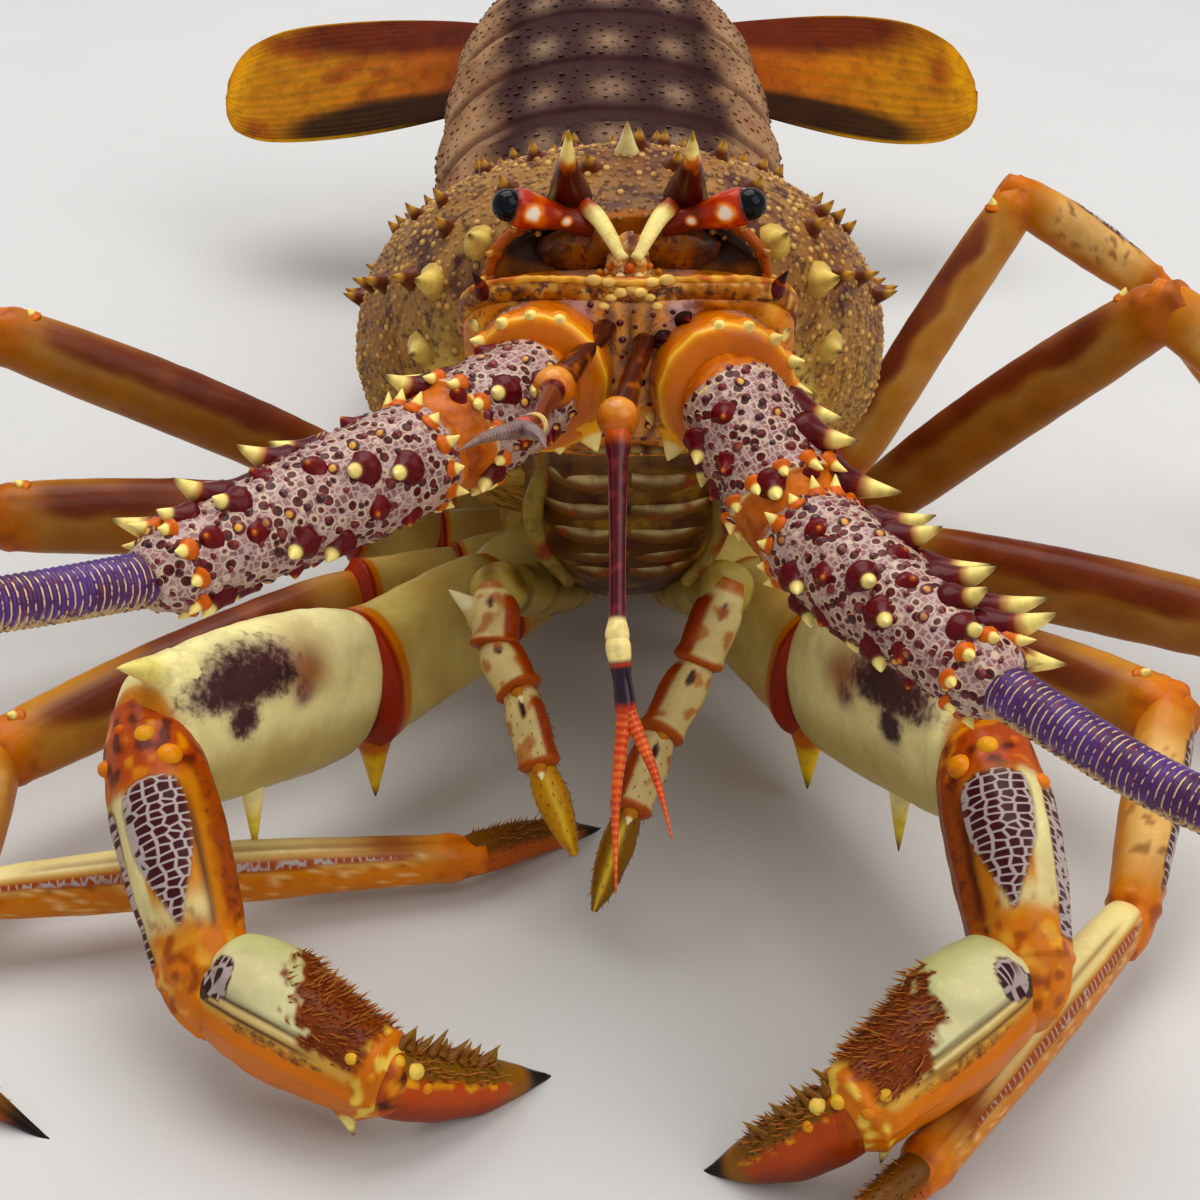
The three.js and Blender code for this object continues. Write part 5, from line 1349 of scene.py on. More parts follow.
def leg_rings(kind, side, seed):
    """Rings of the six segments of one leg."""
    joints = LEGS[kind, side]
    bows = BOWS.get(kind, BOWS["other"])
    big = kind == "leg1"
    found = []
    for k, shape in enumerate(SHAPES):
        width, height = LEG_SIZES[kind][k]
        rows = [[share, w * width, h * height] for share, w, h in shape]
        rings = segment(joints[k], joints[k + 1], rows, 90 if big else 48, 96 if big else 60, bow=bows[k],
                        power=2.15)
        share, high_side = rings.share, rings.look(HIGH)
        rim = 0.35 * hump(share, 0.97, 0.02) if k < 5 else 0
        lumps = (0.16 if big else 0.1) * rough(rings.grid, 3.0, seed + k)
        rings.push(lumps + rim)
        if big and k == 4:
            rings.push(1.3 * blob(share, high_side, (0.28, 0.95), (0.2, 0.6))
                       + 0.5 * hump(high_side, -0.45, 0.12) * smooth(0.05, 0.2, share))
        if big and k == 3:
            rings.push(0.5 * hump(rings.look(FRONT), 0.35, 0.15) * smooth(0.1, 0.3, share))
        found.append(rings)
    return found


def merus_marks(rings, seed):
    """Cream front merus with painted shade in olive on its lower side, a brown-orange band at the hip and a
    fuzzy purple patch.
    """
    share = rings.reach
    tall, ahead = rings.look(HIGH), rings.look(FRONT)
    # Painted shade: olive on the lower side of the cream.
    paint = coats(
        wash(rings.grid, "cream"),
        ("#b0984e", 0.75 * smooth(-0.1, -0.9, tall)),
        ("#f0e6b4", 0.5 * blob(share, tall, (0.3, 0.75), (0.3, 0.25))),
        ("#7c2a06", smooth(0.045, 0.035, share)),
        ("#3c1206", hump(share, 0.045, 0.008)),
        ("#c07a24", smooth(1.0, 1.03, share)))

    def soft(centre, reach):
        away = ((share - centre[0]) / reach[0]) ** 2 + ((tall - centre[1]) / reach[1]) ** 2
        return np.exp(-away)

    patch = np.maximum(soft((0.72, 0.56), (0.28, 0.34)), 0.95 * soft((0.76, 0.05), (0.075, 0.36)))
    patch = np.maximum(patch, 0.75 * soft((0.48, 0.2), (0.06, 0.3)))
    patch = patch * smooth(-0.1, 0.25, ahead + 0.2 * tall)
    rusty = soft((0.45, 0.45), (0.1, 0.34)) * (ahead > 0)
    paint = coats(paint, ("#84606a", 0.8 * smooth(0.15, 0.7, patch)), ("#9a5226", 0.85 * rusty))
    return paint, {"dark": 0.9 * patch * (1 - 0.8 * smooth(0.56, 0.4, share))}


def carpus_marks(rings, inward, seed):
    """Orange-brown wrist with a netted maroon patch, a cream stripe and a dark outer edge."""
    share = rings.reach
    inner, ahead = rings.look(inward), rings.look(FRONT)
    shift = -0.12 if inward[0] > 0 else 0.18
    uneven = rough(rings.grid, 2.0, seed)
    lane = smooth(shift - 0.36, shift - 0.46, inner) * (ahead > -0.4)
    paint = coats(
        wash(rings.grid, "#c07c2c"),
        ("#9a4c12", smooth(0.55, 0.75, inner + 0.1 * uneven)),
        ("#471a0a", 0.9 * hump(inner, shift + 0.56, 0.06) * smooth(0.25, 0.5, share)),
        ("#ddd09a", lane * smooth(0.84, 0.7, share)),
        ("#ddd09a", 0.8 * smooth(0.5, 0.3, inner) * hump(share, 0.76, 0.06)))
    edge = smooth(shift - 0.72, shift - 0.8, inner) * smooth(0.2, 0.34, share) * smooth(0.95, 0.86, share)
    paint = coats(
        paint, ("#d8b048", edge),
        ("#cc7818", smooth(0.78, 0.88, share + 0.06 * uneven)),
        ("#8a3c10", 0.7 * smooth(0.7, 0.8, share) * smooth(0.15, 0.4, rough(rings.grid, 1.6, seed + 3))),
        ("#e6b058", 0.7 * smooth(0.8, 0.9, share) * smooth(0.1, 0.4, rough(rings.grid, 2.2, seed + 4))),
        ("#aa4c10", smooth(0.3, 0.22, share + 0.04 * uneven)),
        ("#4a1608", 0.85 * smooth(0.3, 0.2, share) * smooth(0.1, 0.4, uneven)),
        ("#dc9430", 0.8 * smooth(0.3, 0.2, share) * smooth(0.15, 0.5, -uneven)))
    half = table([[-0.2, 0.0], [0.24, 0.1], [0.29, 0.46], [0.5, 0.5], [0.62, 0.36], [0.8, 0.05], [0.9, 0.0]])
    wide = half(rings.share[:, 0])
    patch = smooth(0.06, -0.05, np.abs(inner - shift - 0.05 * (share - 0.5)) - wide)
    patch = patch * smooth(0.24, 0.28, share) * smooth(0.82, 0.78, share) * (ahead > 0)
    paint = over(paint, "#40121a", np.maximum(patch, smooth(0.4, 0.6, edge)))
    return paint, {"net": np.maximum(1.2 * patch, 0.75 * edge), "dark": 0.3 * smooth(0.5, 0.7, inner)}


def propodus_marks(rings, seed):
    """Cream hump, rust mat, dark and cream lines and an orange lower ridge."""
    share = rings.reach
    tall, ahead = rings.look(HIGH), rings.look(FRONT)
    ragged = 0.1 * rough(rings.grid, 1.6, seed) + 0.05 * rough(rings.grid, 0.8, seed + 1)
    paint = coats(
        wash(rings.grid, "#cc7616"),
        ("#d2a456", smooth(-0.25, 0.0, tall)),
        ("#d9d1a2", smooth(0.2, 0.32, tall)),
        ("#b9bc7c", 0.6 * smooth(0.7, 0.95, tall) * smooth(0.6, 0.4, share)))
    for level, key, width in ((0.27, "#3a1c14", 0.045), (0.16, "#ead9a0", 0.05), (0.05, "#4a2012", 0.045)):
        paint = over(paint, key,
                     hump(tall, level, width) * smooth(0.08, 0.14, share) * smooth(0.78, 0.66, share))
    net = 0.9 * blob(share, tall, (0.16, 0.45), (0.08, 0.3)) * smooth(0.0, 0.3, ahead)
    freckle = blob(share, tall, (0.52, -0.12), (0.3, 0.16))
    mat = (smooth(-0.02, 0.03, share - 0.44 - 0.26 * (1 - tall) + ragged)
           * smooth(0.1, 0.2, tall + 0.5 * ragged))
    paint = coats(
        paint, ("rust", mat),
        ("#5e2206", 0.7 * mat * smooth(0.0, 0.5, rough(rings.grid, 1.4, seed + 2))),
        ("knee", smooth(0.06, 0.0, share)),
        ("#c8741c", smooth(0.9, 0.95, share + 0.5 * ragged)),
        ("#e2c060", smooth(0.88, 0.96, share) * smooth(0.1, 0.4, rough(rings.grid, 1.7, seed + 5))),
        ("#3a161c", smooth(0.35, 0.45, net)))
    fuzzy = 0.8 * blob(share, tall, (0.1, 0.25), (0.06, 0.22)) + 0.42 * freckle
    return paint, {"net": net, "dark": fuzzy, "hair": mat * smooth(0.93, 0.88, share)}


def dactyl_marks(rings, seed):
    """Dark orange below, olive-brown and hairy above, with a painted golden highlight along its edge and an
    abrupt black tip.
    """
    share = rings.reach
    tall = rings.look(HIGH) + 0.12 * rough(rings.grid, 1.2, seed)
    # The golden line along the edge is a painted highlight.
    paint = coats(
        wash(rings.grid, "#b04c04"),
        ("#7c3006", 0.8 * smooth(-0.3, -0.9, tall)),
        ("#7a5410", smooth(0.1, 0.3, tall)),
        ("#e0a83a", 0.8 * hump(tall, 0.08, 0.1) * smooth(-0.1, 0.2, rough(rings.grid, 1.5, seed + 4))),
        ("#8a5a14", smooth(0.66, 0.8, share)),
        ("#140a06", smooth(0.82, 0.93, share + 0.02 * tall)))
    return paint, {"hair": smooth(0.1, 0.3, tall) * smooth(0.0, 0.05, share) * smooth(0.72, 0.62, share)}


def walking_marks(k, rings, seed):
    """Markings of a walking leg: a soft dark band on top, orange joints and dotted lines."""
    share = rings.reach
    tall = rings.look(HIGH)
    uneven = rough(rings.grid, 6.0, seed)
    joint = np.maximum(smooth(0.86, 1.0, share + 0.05 * uneven), smooth(0.08, -0.02, share))
    paint = coats(
        wash(rings.grid, "tan"),
        ("#d2b276", 0.4 * smooth(-0.3, 0.4, uneven)),
        ("#b07028", 0.6 * smooth(-0.1, -0.8, tall)))
    values = {}
    if k == 2:
        band = (smooth(-0.45, 0.45, tall + 0.3 * uneven) * smooth(0.02, 0.35, share)
                * smooth(1.0, 0.75, share))
        paint = coats(
            paint, ("#86482a", 0.95 * smooth(0.05, 0.6, band)),
            ("band", 0.9 * smooth(0.3, 0.9, band) * smooth(-0.8, 0.2, rough(rings.grid, 5, seed + 5))),
            ("#c8903c", 0.7 * hump(tall, 0.98, 0.2) * smooth(0.5, 0.8, share)))
    elif k == 3:
        outer = math.copysign(1, rings.path[0, 0]) * rings.facing[..., 0]
        front = rings.look(FRONT) + 0.15 * rough(rings.grid, 2.0, seed + 6)
        paint = over(paint, "#c8792a", 0.6)
        lane = hump(front, 0.9, 0.35) * smooth(0.1, 0.3, share) * smooth(0.95, 0.7, share)
        paint = coats(
            paint, ("#e2c080", 0.7 * lane),
            ("#6e3010", 0.7 * lane * smooth(0.25, 0.45, rough(rings.grid, 1.3, seed + 7))))
        values["net"] = 0.62 * blob(share, outer, (0.5, 0.75), (0.42, 0.3))
        paint = over(paint, "#461a1a", smooth(0.32, 0.42, values["net"]))
    elif k == 4:
        paint = coats(
            paint, ("#e0cf94", smooth(0.45, 0.65, tall) * smooth(0.85, 0.6, share)),
            ("#7c3c14", 0.7 * hump(tall, 0.75, 0.06) * smooth(0.1, 0.2, share)),
            ("#cc7e20", smooth(0.1, -0.2, tall)),
            ("#6e3010", 0.6 * hump(tall, -0.05, 0.3) * smooth(0.25, 0.45, rough(rings.grid, 1.2, seed + 8))),
            ("#e8c890", 0.6 * smooth(0.2, 0.4, rough(rings.grid, 0.8, seed + 7)) * (tall < 0.4)))
        values["net"] = 0.55 * blob(share, tall, (0.45, 0.25), (0.5, 0.22))
        paint = coats(
            paint, ("#9a4c18", smooth(0.38, 0.45, values["net"])),
            ("#7a3410", 0.8 * hump(share, 0.84, 0.06) * smooth(0.1, 0.5, tall)))
    elif k == 5:
        paint = coats(
            wash(rings.grid, "#b05a12"),
            ("#6a420e", smooth(-0.2, 0.3, tall)),
            ("#1a0c08", smooth(0.78, 0.92, share)))
        values["hair"] = smooth(0.05, 0.15, share) * smooth(0.86, 0.76, share) * smooth(-0.5, 0.1, tall)
        return paint, values
    paint = over(paint, "orange", 0.9 * joint)
    return over(paint, "#7a3410", 0.6 * joint * smooth(0.0, 0.5, rough(rings.grid, 2.4, seed + 9))), values


def root_marks(rings, seed):
    """Coxa and ischium: cream with orange-brown rims."""
    share = rings.reach
    paint = coats(
        wash(rings.grid, "#cdb872"),
        ("#a8702e", 0.4 * smooth(-0.1, 0.5, rough(rings.grid, 8.0, seed))),
        ("#c87818", np.maximum(smooth(0.85, 0.88, share), smooth(0.1, 0.0, share))),
        ("#983206", smooth(0.91, 0.94, share)))
    return paint, {}


def leg_marks(kind, k, rings, inward, seed):
    if k < 2:
        return root_marks(rings, seed)
    if kind != "leg1":
        paint, values = walking_marks(k, rings, seed)
        return over(paint, "#6a2a08", 0.35 * (kind in ("leg3", "leg4") and k == 2)), values
    if k == 3:
        return carpus_marks(rings, inward, seed)
    return {2: merus_marks, 4: propodus_marks, 5: dactyl_marks}[k](rings, seed)


def on_front(skins, place, inward, reach):
    """The foremost point of the skins at a place in the front view."""
    points = np.concatenate([rings.grid.reshape(-1, 3) for rings in skins])
    away = points - place
    near_by = np.hypot(away @ inward, away @ HIGH)
    return points[np.argmax(away @ FRONT - 2 * near_by - 50 * (near_by > reach))]


def leg_spines(form, kind, side, skins, inward):
    """The same spines as on the solid leg, and the round knobs of the front knees and hands."""
    joints = np.array(LEGS[kind, side], float)
    big = kind == "leg1"
    tall = 9 if big else 3.4
    hip, knee, wrist, hand = joints[2:6]
    meral_height = LEG_SIZES[kind][2][1]
    meral = unit(knee - hip)
    above = np.cross(unit(np.cross(meral, UP)), meral)
    near_knee = hip + (knee - hip) * 0.93 + above * (0.34 if big else 0.4) * meral_height
    form.thorn(near_knee, meral + above * (0.4 if big else 0.9), tall * (1.1 if big else 0.5),
               3.2 if big else 1.2, -0.1, flat=0.8, foot="cream" if big else "orange", change=0.4,
               point="#efe08c", end="#efe08c")
    for share in (0.15, 0.5):
        root = knee + (wrist - knee) * share + above * 0.4 * LEG_SIZES[kind][3][1]
        form.thorn(root, above + meral, tall * 0.3, 1.4 if big else 0.9, foot="orange", change=0.4)
    if not big:
        return
    under = hip + (knee - hip) * 0.5 - above * 0.2 * meral_height + 3.5 * FRONT
    form.thorn(under, 0.2 * FRONT - UP, tall * 1.6, 2.3, 0.06, foot="cream", point="#e6d060", change=0.6,
               end="#5a3410", sides=20)
    ischial = joints[1] + (hip - joints[1]) * 0.9 + (0, -0.5, -8.8)
    form.thorn(ischial, (0, -0.2, -1), tall * 1.15, 2.7, 0.05, foot="#c8701a", point="#e8c24a", change=0.35,
               end="#3a1c08", sides=20)
    form.thorn(wrist + (hand - wrist) * 0.75 + (0, -1, -5.4), 0.3 * inward + (0, -0.6, -0.7), 4.8, 1.8,
               foot="#c8741c")
    claw = joints[6] - hand
    for k in range(11):
        edge = on_front(skins[5:], hand + claw * (0.05 + 0.062 * k) + (4.5 - 0.3 * k) * HIGH, inward, 1.5)
        sway = 0.4 * math.sin(2.3 * k)
        form.thorn(edge + 0.6 * HIGH - 0.8 * FRONT, HIGH + (0.8 + sway) * unit(claw) + sway * FRONT,
                   2.2 + 1.2 * math.sin(1.9 * k) ** 2, 0.6, foot="#74480e", point="#805c16", end="#a88a38",
                   sides=8)
    knobs = ((knee, 1.0, 1.6, 1.4, "#e0a040"), (knee, 4.0, -1.0, 1.7, "#dc8e24"),
             (knee, -5.2, -2.6, 1.2, "#d07c1c"), (knee, -2.4, 2.2, 0.8, "#c86418"),
             (hand, 1.5, 2.4, 1.0, "#d8ac48"), (hand, 3.6, 1.4, 1.2, "#e4c468"),
             (hand, -1.4, 1.2, 0.9, "#c87c24"), (hand, 4.8, -0.8, 0.8, "#d89030"),
             (hand, -3.4, 3.4, 0.9, "#d8ac48"))
    for joint, inwards, high_up, size, key in knobs:
        centre = on_front(skins, joint + inwards * inward + high_up * HIGH, inward, 1.5)
        form.ball(centre - 0.55 * size * FRONT, (size, size, size * 0.9), 20, 14, paint=key)


def leg(kind, side, seed):
    joints = np.array(LEGS[kind, side], float)
    inward = np.array([1.0 if side == "right" else -1.0, 0, 0])
    big = kind == "leg1"
    form, skins = Form(), leg_rings(kind, side, seed)
    for k, rings in enumerate(skins):
        paint, values = leg_marks(kind, k, rings, inward, seed + 3 * k)
        form.skin(rings.grid, paint, rings.limb, **values)
    for k in (2, 3, 4, 5):
        width, height = LEG_SIZES[kind][min(k, 4)]
        size = 0.3 if k == 5 else 0.38
        grid = sphere(30, 22) * (width * size, width * size, height * size) + joints[k]
        paint = over(wash(grid, "knee"), "#d88a28", smooth(0.0, 0.4, rough(grid, 2.4, seed + k)))
        form.skin(grid, over(paint, "#4c1a08", smooth(0.1, 0.4, rough(grid, 1.8, seed + k + 9))))
    nodes = ([f"leg1_{part}_{side}" for part in ("upper", "carpus", "propodus", "dactyl")]
             if big else [f"{kind}_upper_{side}", f"{kind}_lower_{side}"])
    made = form.piece(f"{kind}_{side}", "leg_shell", *nodes, slot="leg")
    lean = unit(joints[6] - joints[5]) * 0.9
    tuft = bpy.context.scene.lobster_sizes.tuft_length
    tufts = bumps(made, f"{kind}_{side}_tufts", "tufts", "hair", spacing=0.00045 if big else 0.0008,
                  smallest=0.0001, largest=0.00022 if big else 0.00015, tallness=tuft / 0.0002, swell=0.0,
                  lean=tuple(lean), scatter=0.35, sides=4, seed=seed)
    spines = Form()
    leg_spines(spines, kind, side, skins, inward)
    return [made, tufts, spines.piece(f"{kind}_{side}_spines", "spines", slot="leg")]


# Sternum, abdomen and tail fan


def sternum():
    """Grooved plate between the leg roots."""
    rows = [[26, 8, 44, 33, 25], [42, 15, 34, 26, 19], [62, 19, 27, 19, 13], [84, 21, 22, 14.5, 9],
            [104, 17, 20, 13, 8.5], [112, 11, 19, 13, 9.5]]
    grid, _, rise, _ = hull(rows, np.linspace(26, 112, 90), 64, 3)
    grooves = sum(hump(grid[..., 1], place, 1.3) for place in (42, 56, 70, 84, 98))
    grooves = np.clip(grooves + hump(grid[..., 0], 0, 1.0), 0, 1)
    grid[..., 2] += 0.9 * grooves * (rise < 0)
    # Painted shade: orange-brown in the grooves.
    paint = over(wash(grid, "#bfa25e"), "#9a5a22", 0.8 * grooves)
    form = Form().skin(grid, over(paint, "#7a4a28", smooth(0.0, 0.5, rough(grid, 5.0))))
    return form.piece("sternum", "leg_shell", "sternum", slot="leg")


def abdomen_frame(distance):
    """Centre, rearward and upward directions along the abdomen."""
    line = spline(ABDOMEN_LINE, 240)
    run = distances(line)
    at = np.clip(distance, 0, run[-1])
    centre = read_line(at, run, line)
    heading = unit(read_line(at, run, unit(np.gradient(line, axis=0))))
    centre += heading * (np.asarray(distance) - at)[:, None]
    return centre, heading, np.cross(np.array([1.0, 0, 0]), heading)


def abdomen_segment(index, seed):
    """One ring of the abdomen with its side points and swimmerets."""
    form = Form()
    begin = sum(SEGMENT_LENGTHS[:index]) + 0.35
    size = SEGMENT_LENGTHS[index] - 0.3
    share = np.linspace(0, 1, 56)
    centre, _, above = abdomen_frame(begin + size * share)
    half, rise, depth = table(ABDOMEN)(begin + size * share).T
    swell = table([[0, 0.93], [0.1, 0.965], [0.24, 0.975], [0.3, 1.0], [0.7, 1.015], [0.9, 1.02], [1, 0.99]])
    swell = swell(share)[:, 0]
    across, up = rounded(120, 2.15)
    lift = np.where(up > 0, rise[:, None] * swell[:, None], depth[:, None])
    grid = (centre[:, None] + np.array([1.0, 0, 0]) * (across * (half * swell)[:, None])[..., None]
            + above[:, None] * (up * lift)[..., None])
    x = grid[..., 0]
    away = unit(np.stack([across / half[:, None], 0 * x, up / rise[:, None]], -1))
    s = share[:, None] + 0 * x
    sculpt = (-0.7 * hump(s, 0.27, 0.03) * (up > -0.2) + 0.25 * rough(grid, 4.0, seed)
              + 0.35 * hump(s, 0.93, 0.05))
    grid = grid + away * sculpt[..., None]
    paint = over(wash(grid, "flank"), "#8a5e44", 0.55 * smooth(-0.1, 0.5, rough(grid, 6.0, seed + 1)))
    band = smooth(half[:, None] * 0.8, half[:, None] * 0.56, np.abs(x) + 3.0 * rough(grid, 8.0, seed + 2))
    band = band * (up > 0)
    paint = coats(
        paint, ("back", 0.95 * band),
        ("#38181e", 0.5 * band * smooth(0.0, 0.5, rough(grid, 5.0, seed + 3))))
    top = centre[32] + above[32] * rise[32]
    paint = over(paint, "#a08068", 0.7 * near(grid, top, (3.4, 3.6, 5)))
    for side in (1, -1):
        paint = over(paint, "#b3957a", 0.6 * near(grid, top + (side * 12, 0, -3), (2.6, 3.4, 5)))
    # The purple-brown line across each ring is painted shade in its groove.
    paint = coats(
        paint, ("#b0602c", 0.75 * smooth(0.95, 0.99, s) * (1 - 0.6 * band)),
        ("#3c2026", 0.6 * hump(s, 0.27, 0.03)),
        ("#c49a5c", smooth(-0.1, -0.6, up)))
    form.skin(grid, paint, speck=0.3, bumpy=smooth(0.3, 0.36, s) * smooth(0.97, 0.92, s) * (up > -0.1))
    for side in (1, -1) if index < 5 else ():
        root = centre[30] + (side * (half[30] - 3.2), -1, -depth[30] * 0.35)
        tip = centre[30] + (side * (half[30] - 1.5), 5, -depth[30] - 7 + index * 0.5)
        blade = segment(root, tip, [[0, 5, 10.5], [0.5, 3.4, 8.6], [0.8, 2.2, 5], [1.0, 1.0, 1.4],
                                    [1.05, 0.3, 0.3]], 28, 30, up=np.array([0, 1.0, 0]))
        form.skin(blade.grid, over(wash(blade.grid, "flank"), "#c8782c", smooth(0.4, 1.0, blade.reach)))
        if index > 0:
            fin_root = centre[30] + (side * (half[30] - 11), 0, -depth[30] + 1.5)
            fin_tip = centre[30] + (side * (half[30] - 14), 11, -depth[30] - 7)
            fin = segment(fin_root, fin_tip, [[-0.05, 2.5, 1.3], [0.3, 6.3, 1.2], [0.75, 6.2, 1.0],
                                              [1.0, 2.4, 0.6]], 32, 30)
            form.skin(fin.grid, over(wash(fin.grid, "#c8a066"), "#b0602c", hump(fin.reach, 1.0, 0.25)))
    made = form.piece(f"abdomen_{index + 1}", "abdomen_shell", f"abdomen_{index + 1}", slot="abdomen")
    return [made, bumps(made, f"abdomen_{index + 1}_granules", "granules", spacing=0.0021,
                        smallest=0.0003, largest=0.00065, tallness=0.45, lean=(0.0, 0.9, 0.0), sides=6,
                        seed=seed)]


PLATES = {
    "telson": ((0, 217, 47.5), (0, 259, 38), 29, 0),
    "uropod_inner_left": ((9, 214, 46), (36, 250, 36), 25, 12),
    "uropod_inner_right": ((-9, 214, 46), (-36, 250, 36), 25, -12),
    "uropod_outer_left": ((15, 216, 49), (84, 231, 38), 34, 34),
    "uropod_outer_right": ((-15, 216, 49), (-84, 231, 38), 34, -34),
}


def fan_plate(name, root, tip, chord, tilt):
    """Leaf-shaped plate with a stiff dark root, fine ribs and a golden edge."""
    along = unit(np.subtract(tip, root))
    turned = UP * math.cos(math.radians(tilt)) + np.cross(along, UP) * math.sin(math.radians(tilt))
    rows = [[s, chord * w, 1.5 * (1.5 - 0.7 * s)] for s, w in
            ((0, 0.36), (0.12, 0.62), (0.35, 0.86), (0.6, 1), (0.82, 0.96), (0.94, 0.72), (0.985, 0.42),
             (1.0, 0.12))]
    rings = segment(root, tip, rows, 160, 140, up=turned, power=2.5)
    turn, share = rings.angle + 0 * rings.share, rings.reach
    fore = np.cos(turn) * (1 if name.endswith("left") else -1)
    ribs = np.sin(turn * 42) * smooth(0.3, 0.5, share) * 0.1
    keel = 0.5 * hump(np.cos(turn), 0, 0.1) * smooth(0.75, 0.3, share)
    lift = np.sign(np.sin(turn)) * (ribs + keel) * smooth(0, 0.3, np.abs(np.sin(turn)))
    rings.grid += rings.over[:, None] * lift[..., None]
    rings.grid[..., 2] += 0.9 * np.sin(share * 5 + np.cos(turn) * 2) * share
    uneven = rough(rings.grid, 8.0, 3)
    paint = coats(
        wash(rings.grid, "gold"),
        ("#b0620c", smooth(0.75, 0.3, share + 0.2 * uneven)),
        ("#8e420a", 0.8 * smooth(0.1, 0.6, uneven)),
        ("#5e2410", 0.7 * smooth(0.55, 0.1, share + 0.15 * uneven) * (name != "telson")),
        ("#7a5a10", 0.45 * smooth(0.0, 1.0, np.sin(turn * 42)) * smooth(0.3, 0.5, share)))
    # The black-brown and red-brown patches across the side plates are painted shade.
    if name != "telson":
        paint = coats(
            paint, ("#241408", 0.95 * blob(share, fore, (0.42, 0.8), (0.36, 0.4))),
            ("#5a200e", 0.95 * blob(share, fore, (0.42, -0.8), (0.4, 0.6))))
    edge = np.maximum(smooth(0.88, 0.98, share),
                      smooth(0.93, 0.99, np.abs(np.cos(turn))) * smooth(0.3, 0.6, share))
    paint = over(paint, "#d8a01c", 0.6 * edge)
    form = Form().skin(rings.grid, paint, speck=0.25)
    return form.piece(name, "fan_plates", name, slot="fan")


# Stage


def stage():
    """Pale floor, soft studio light and the camera."""
    scene = bpy.context.scene
    scene.view_settings.view_transform, scene.view_settings.gamma = "Standard", 0.93
    bpy.ops.mesh.primitive_plane_add(size=6)
    floor = bpy.context.object
    floor.name = "floor"
    f = Finish("floor_paint", Specular_IOR_Level=0.3)
    shade = tuple(scene.lobster_colours.floor)
    cloud = f.noise(60.0, 2.0)
    f.feed("Base Color", f.mix(f.between(cloud, 0.3, 0.7), shade, tuple(0.97 * c for c in shade)))
    f.feed("Roughness", 0.5 + cloud * 0.2)
    f.relief(cloud, 0.6)
    floor.data.materials.append(f.material)
    world = bpy.data.worlds.new("studio")
    world.use_nodes = True
    back = world.node_tree.nodes["Background"]
    back.inputs[0].default_value = (0.96, 0.98, 1.0, 1)
    back.inputs[1].default_value = 0.54
    scene.world = world
    for name, place, aim, size, power in (
            ("key", (-0.12, 0.3, 1.15), (0, -0.05, 0.05), 1.0, 10.2),
            ("fill", (0.65, -0.6, 0.85), (0, -0.1, 0.03), 1.0, 5.8)):
        lamp = bpy.data.lights.new(name, "AREA")
        lamp.size, lamp.energy = size, power
        lit = placed(name, lamp)
        lit.location = place
        lit.rotation_euler = (Vector(aim) - Vector(place)).to_track_quat("-Z", "Y").to_euler()
    lens = bpy.data.cameras.new("camera")
    lens.lens, lens.sensor_width, lens.clip_start = 65.5, 36, 0.01
    camera = placed("camera", lens)
    camera.location = Vector((np.array([-6.9, -251.0, 184.0]) + HOME) / 1000)
    camera.rotation_euler = Euler((math.radians(60), 0, math.radians(-0.76)))
    scene.camera = camera


# Operators


class LOBSTER_OT_stage(bpy.types.Operator):
    """Floor, lights and camera"""
    bl_idname = "lobster.stage"
    bl_label = "Stage"

    def execute(self, context):
        stage()
        return {"FINISHED"}


class LOBSTER_OT_shell(bpy.types.Operator):
    """Carapace with its horns and spines, and the plate under it"""
    bl_idname = "lobster.shell"
    bl_label = "Shell"

    def execute(self, context):
        seed = context.scene.lobster_sizes.seed
        return settle([*carapace(seed), carapace_spines(), horns(), sternum()])


class LOBSTER_OT_head(bpy.types.Operator):
    """Front plate with its beaded ridge, and the eyes"""
    bl_idname = "lobster.head"
    bl_label = "Head"

    def execute(self, context):
        seed = context.scene.lobster_sizes.seed
        return settle([*head_plate(seed + 1), head_ridge(), *eyes()])


class LOBSTER_OT_mouth(bpy.types.Operator):
    """Mouth plates and the two maxillipeds"""
    bl_idname = "lobster.mouth"
    bl_label = "Mouth"

    def execute(self, context):
        seed = context.scene.lobster_sizes.seed
        settle([mouth()])
        for name, side in SIDES:
            settle(maxilliped(name, seed + side))
        return {"FINISHED"}


class LOBSTER_OT_antennae(bpy.types.Operator):
    """Spiny antennae with their whips, and the antennules between them"""
    bl_idname = "lobster.antennae"
    bl_label = "Antennae"

    def execute(self, context):
        seed = context.scene.lobster_sizes.seed
        for name, spines in (("left", 31), ("right", 41)):
            shape = ANTENNAE[name]
            elbow = shape["elbow"]
            settle([
                antenna_base(name, seed + spines),
                *antenna_segment(name, "fourth", shape["base"][1], elbow, FOURTH, seed + spines),
                *antenna_segment(name, "fifth", elbow, shape["wrist"], FIFTH, seed + spines + 1),
                antenna_points(name, spines), whip(name), antennule(name)])
        return {"FINISHED"}


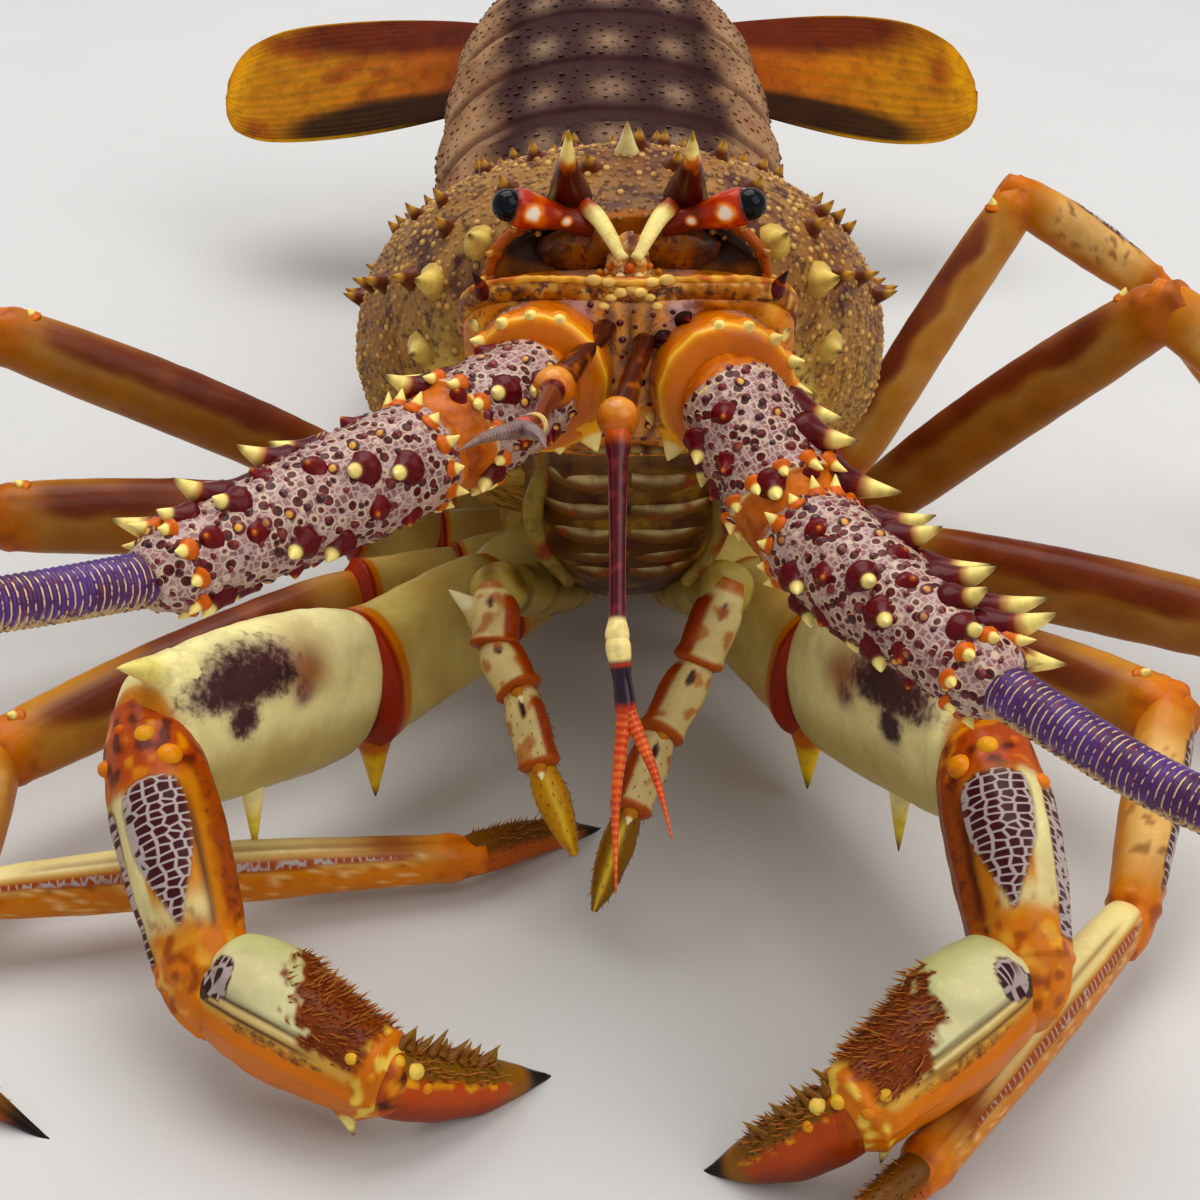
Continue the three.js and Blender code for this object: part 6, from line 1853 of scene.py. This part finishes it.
class LOBSTER_OT_legs(bpy.types.Operator):
    """The ten legs"""
    bl_idname = "lobster.legs"
    bl_label = "Legs"

    def execute(self, context):
        seed = context.scene.lobster_sizes.seed
        for number, (kind, side) in enumerate(LEGS):
            settle(leg(kind, side, seed + 10 * number))
        return {"FINISHED"}


class LOBSTER_OT_abdomen(bpy.types.Operator):
    """The six rings of the abdomen"""
    bl_idname = "lobster.abdomen"
    bl_label = "Abdomen"

    def execute(self, context):
        seed = context.scene.lobster_sizes.seed
        for index in range(6):
            settle(abdomen_segment(index, seed + index))
        return {"FINISHED"}


class LOBSTER_OT_fan(bpy.types.Operator):
    """The five plates of the tail fan"""
    bl_idname = "lobster.fan"
    bl_label = "Tail fan"

    def execute(self, context):
        return settle([fan_plate(name, *shape) for name, shape in PLATES.items()])


OPERATORS = (LOBSTER_OT_stage, LOBSTER_OT_shell, LOBSTER_OT_head, LOBSTER_OT_mouth, LOBSTER_OT_antennae,
             LOBSTER_OT_legs, LOBSTER_OT_abdomen, LOBSTER_OT_fan)


class LOBSTER_PT_panel(bpy.types.Panel):
    """Sizes, colours and the steps that make the lobster"""
    bl_idname = "LOBSTER_PT_panel"
    bl_label = "Spiny rock lobster"
    bl_space_type = "VIEW_3D"
    bl_region_type = "UI"
    bl_category = "Lobster"

    def draw(self, context):
        for group in (context.scene.lobster_sizes, context.scene.lobster_colours):
            box = self.layout.box()
            for key in type(group).__annotations__:
                box.prop(group, key)
        for made in OPERATORS:
            self.layout.operator(made.bl_idname)


CLASSES = (LobsterSizes, LobsterColours, *OPERATORS, LOBSTER_PT_panel)


def register():
    for made in CLASSES:
        bpy.utils.register_class(made)
    bpy.types.Scene.lobster_sizes = PointerProperty(type=LobsterSizes)
    bpy.types.Scene.lobster_colours = PointerProperty(type=LobsterColours)


def unregister():
    del bpy.types.Scene.lobster_sizes, bpy.types.Scene.lobster_colours
    for made in reversed(CLASSES):
        bpy.utils.unregister_class(made)


def main():
    register()
    bpy.ops.lobster.stage()
    bpy.ops.lobster.shell()
    bpy.ops.lobster.head()
    bpy.ops.lobster.mouth()
    bpy.ops.lobster.antennae()
    bpy.ops.lobster.legs()
    bpy.ops.lobster.abdomen()
    bpy.ops.lobster.fan()


if __name__ == "__main__":
    main()
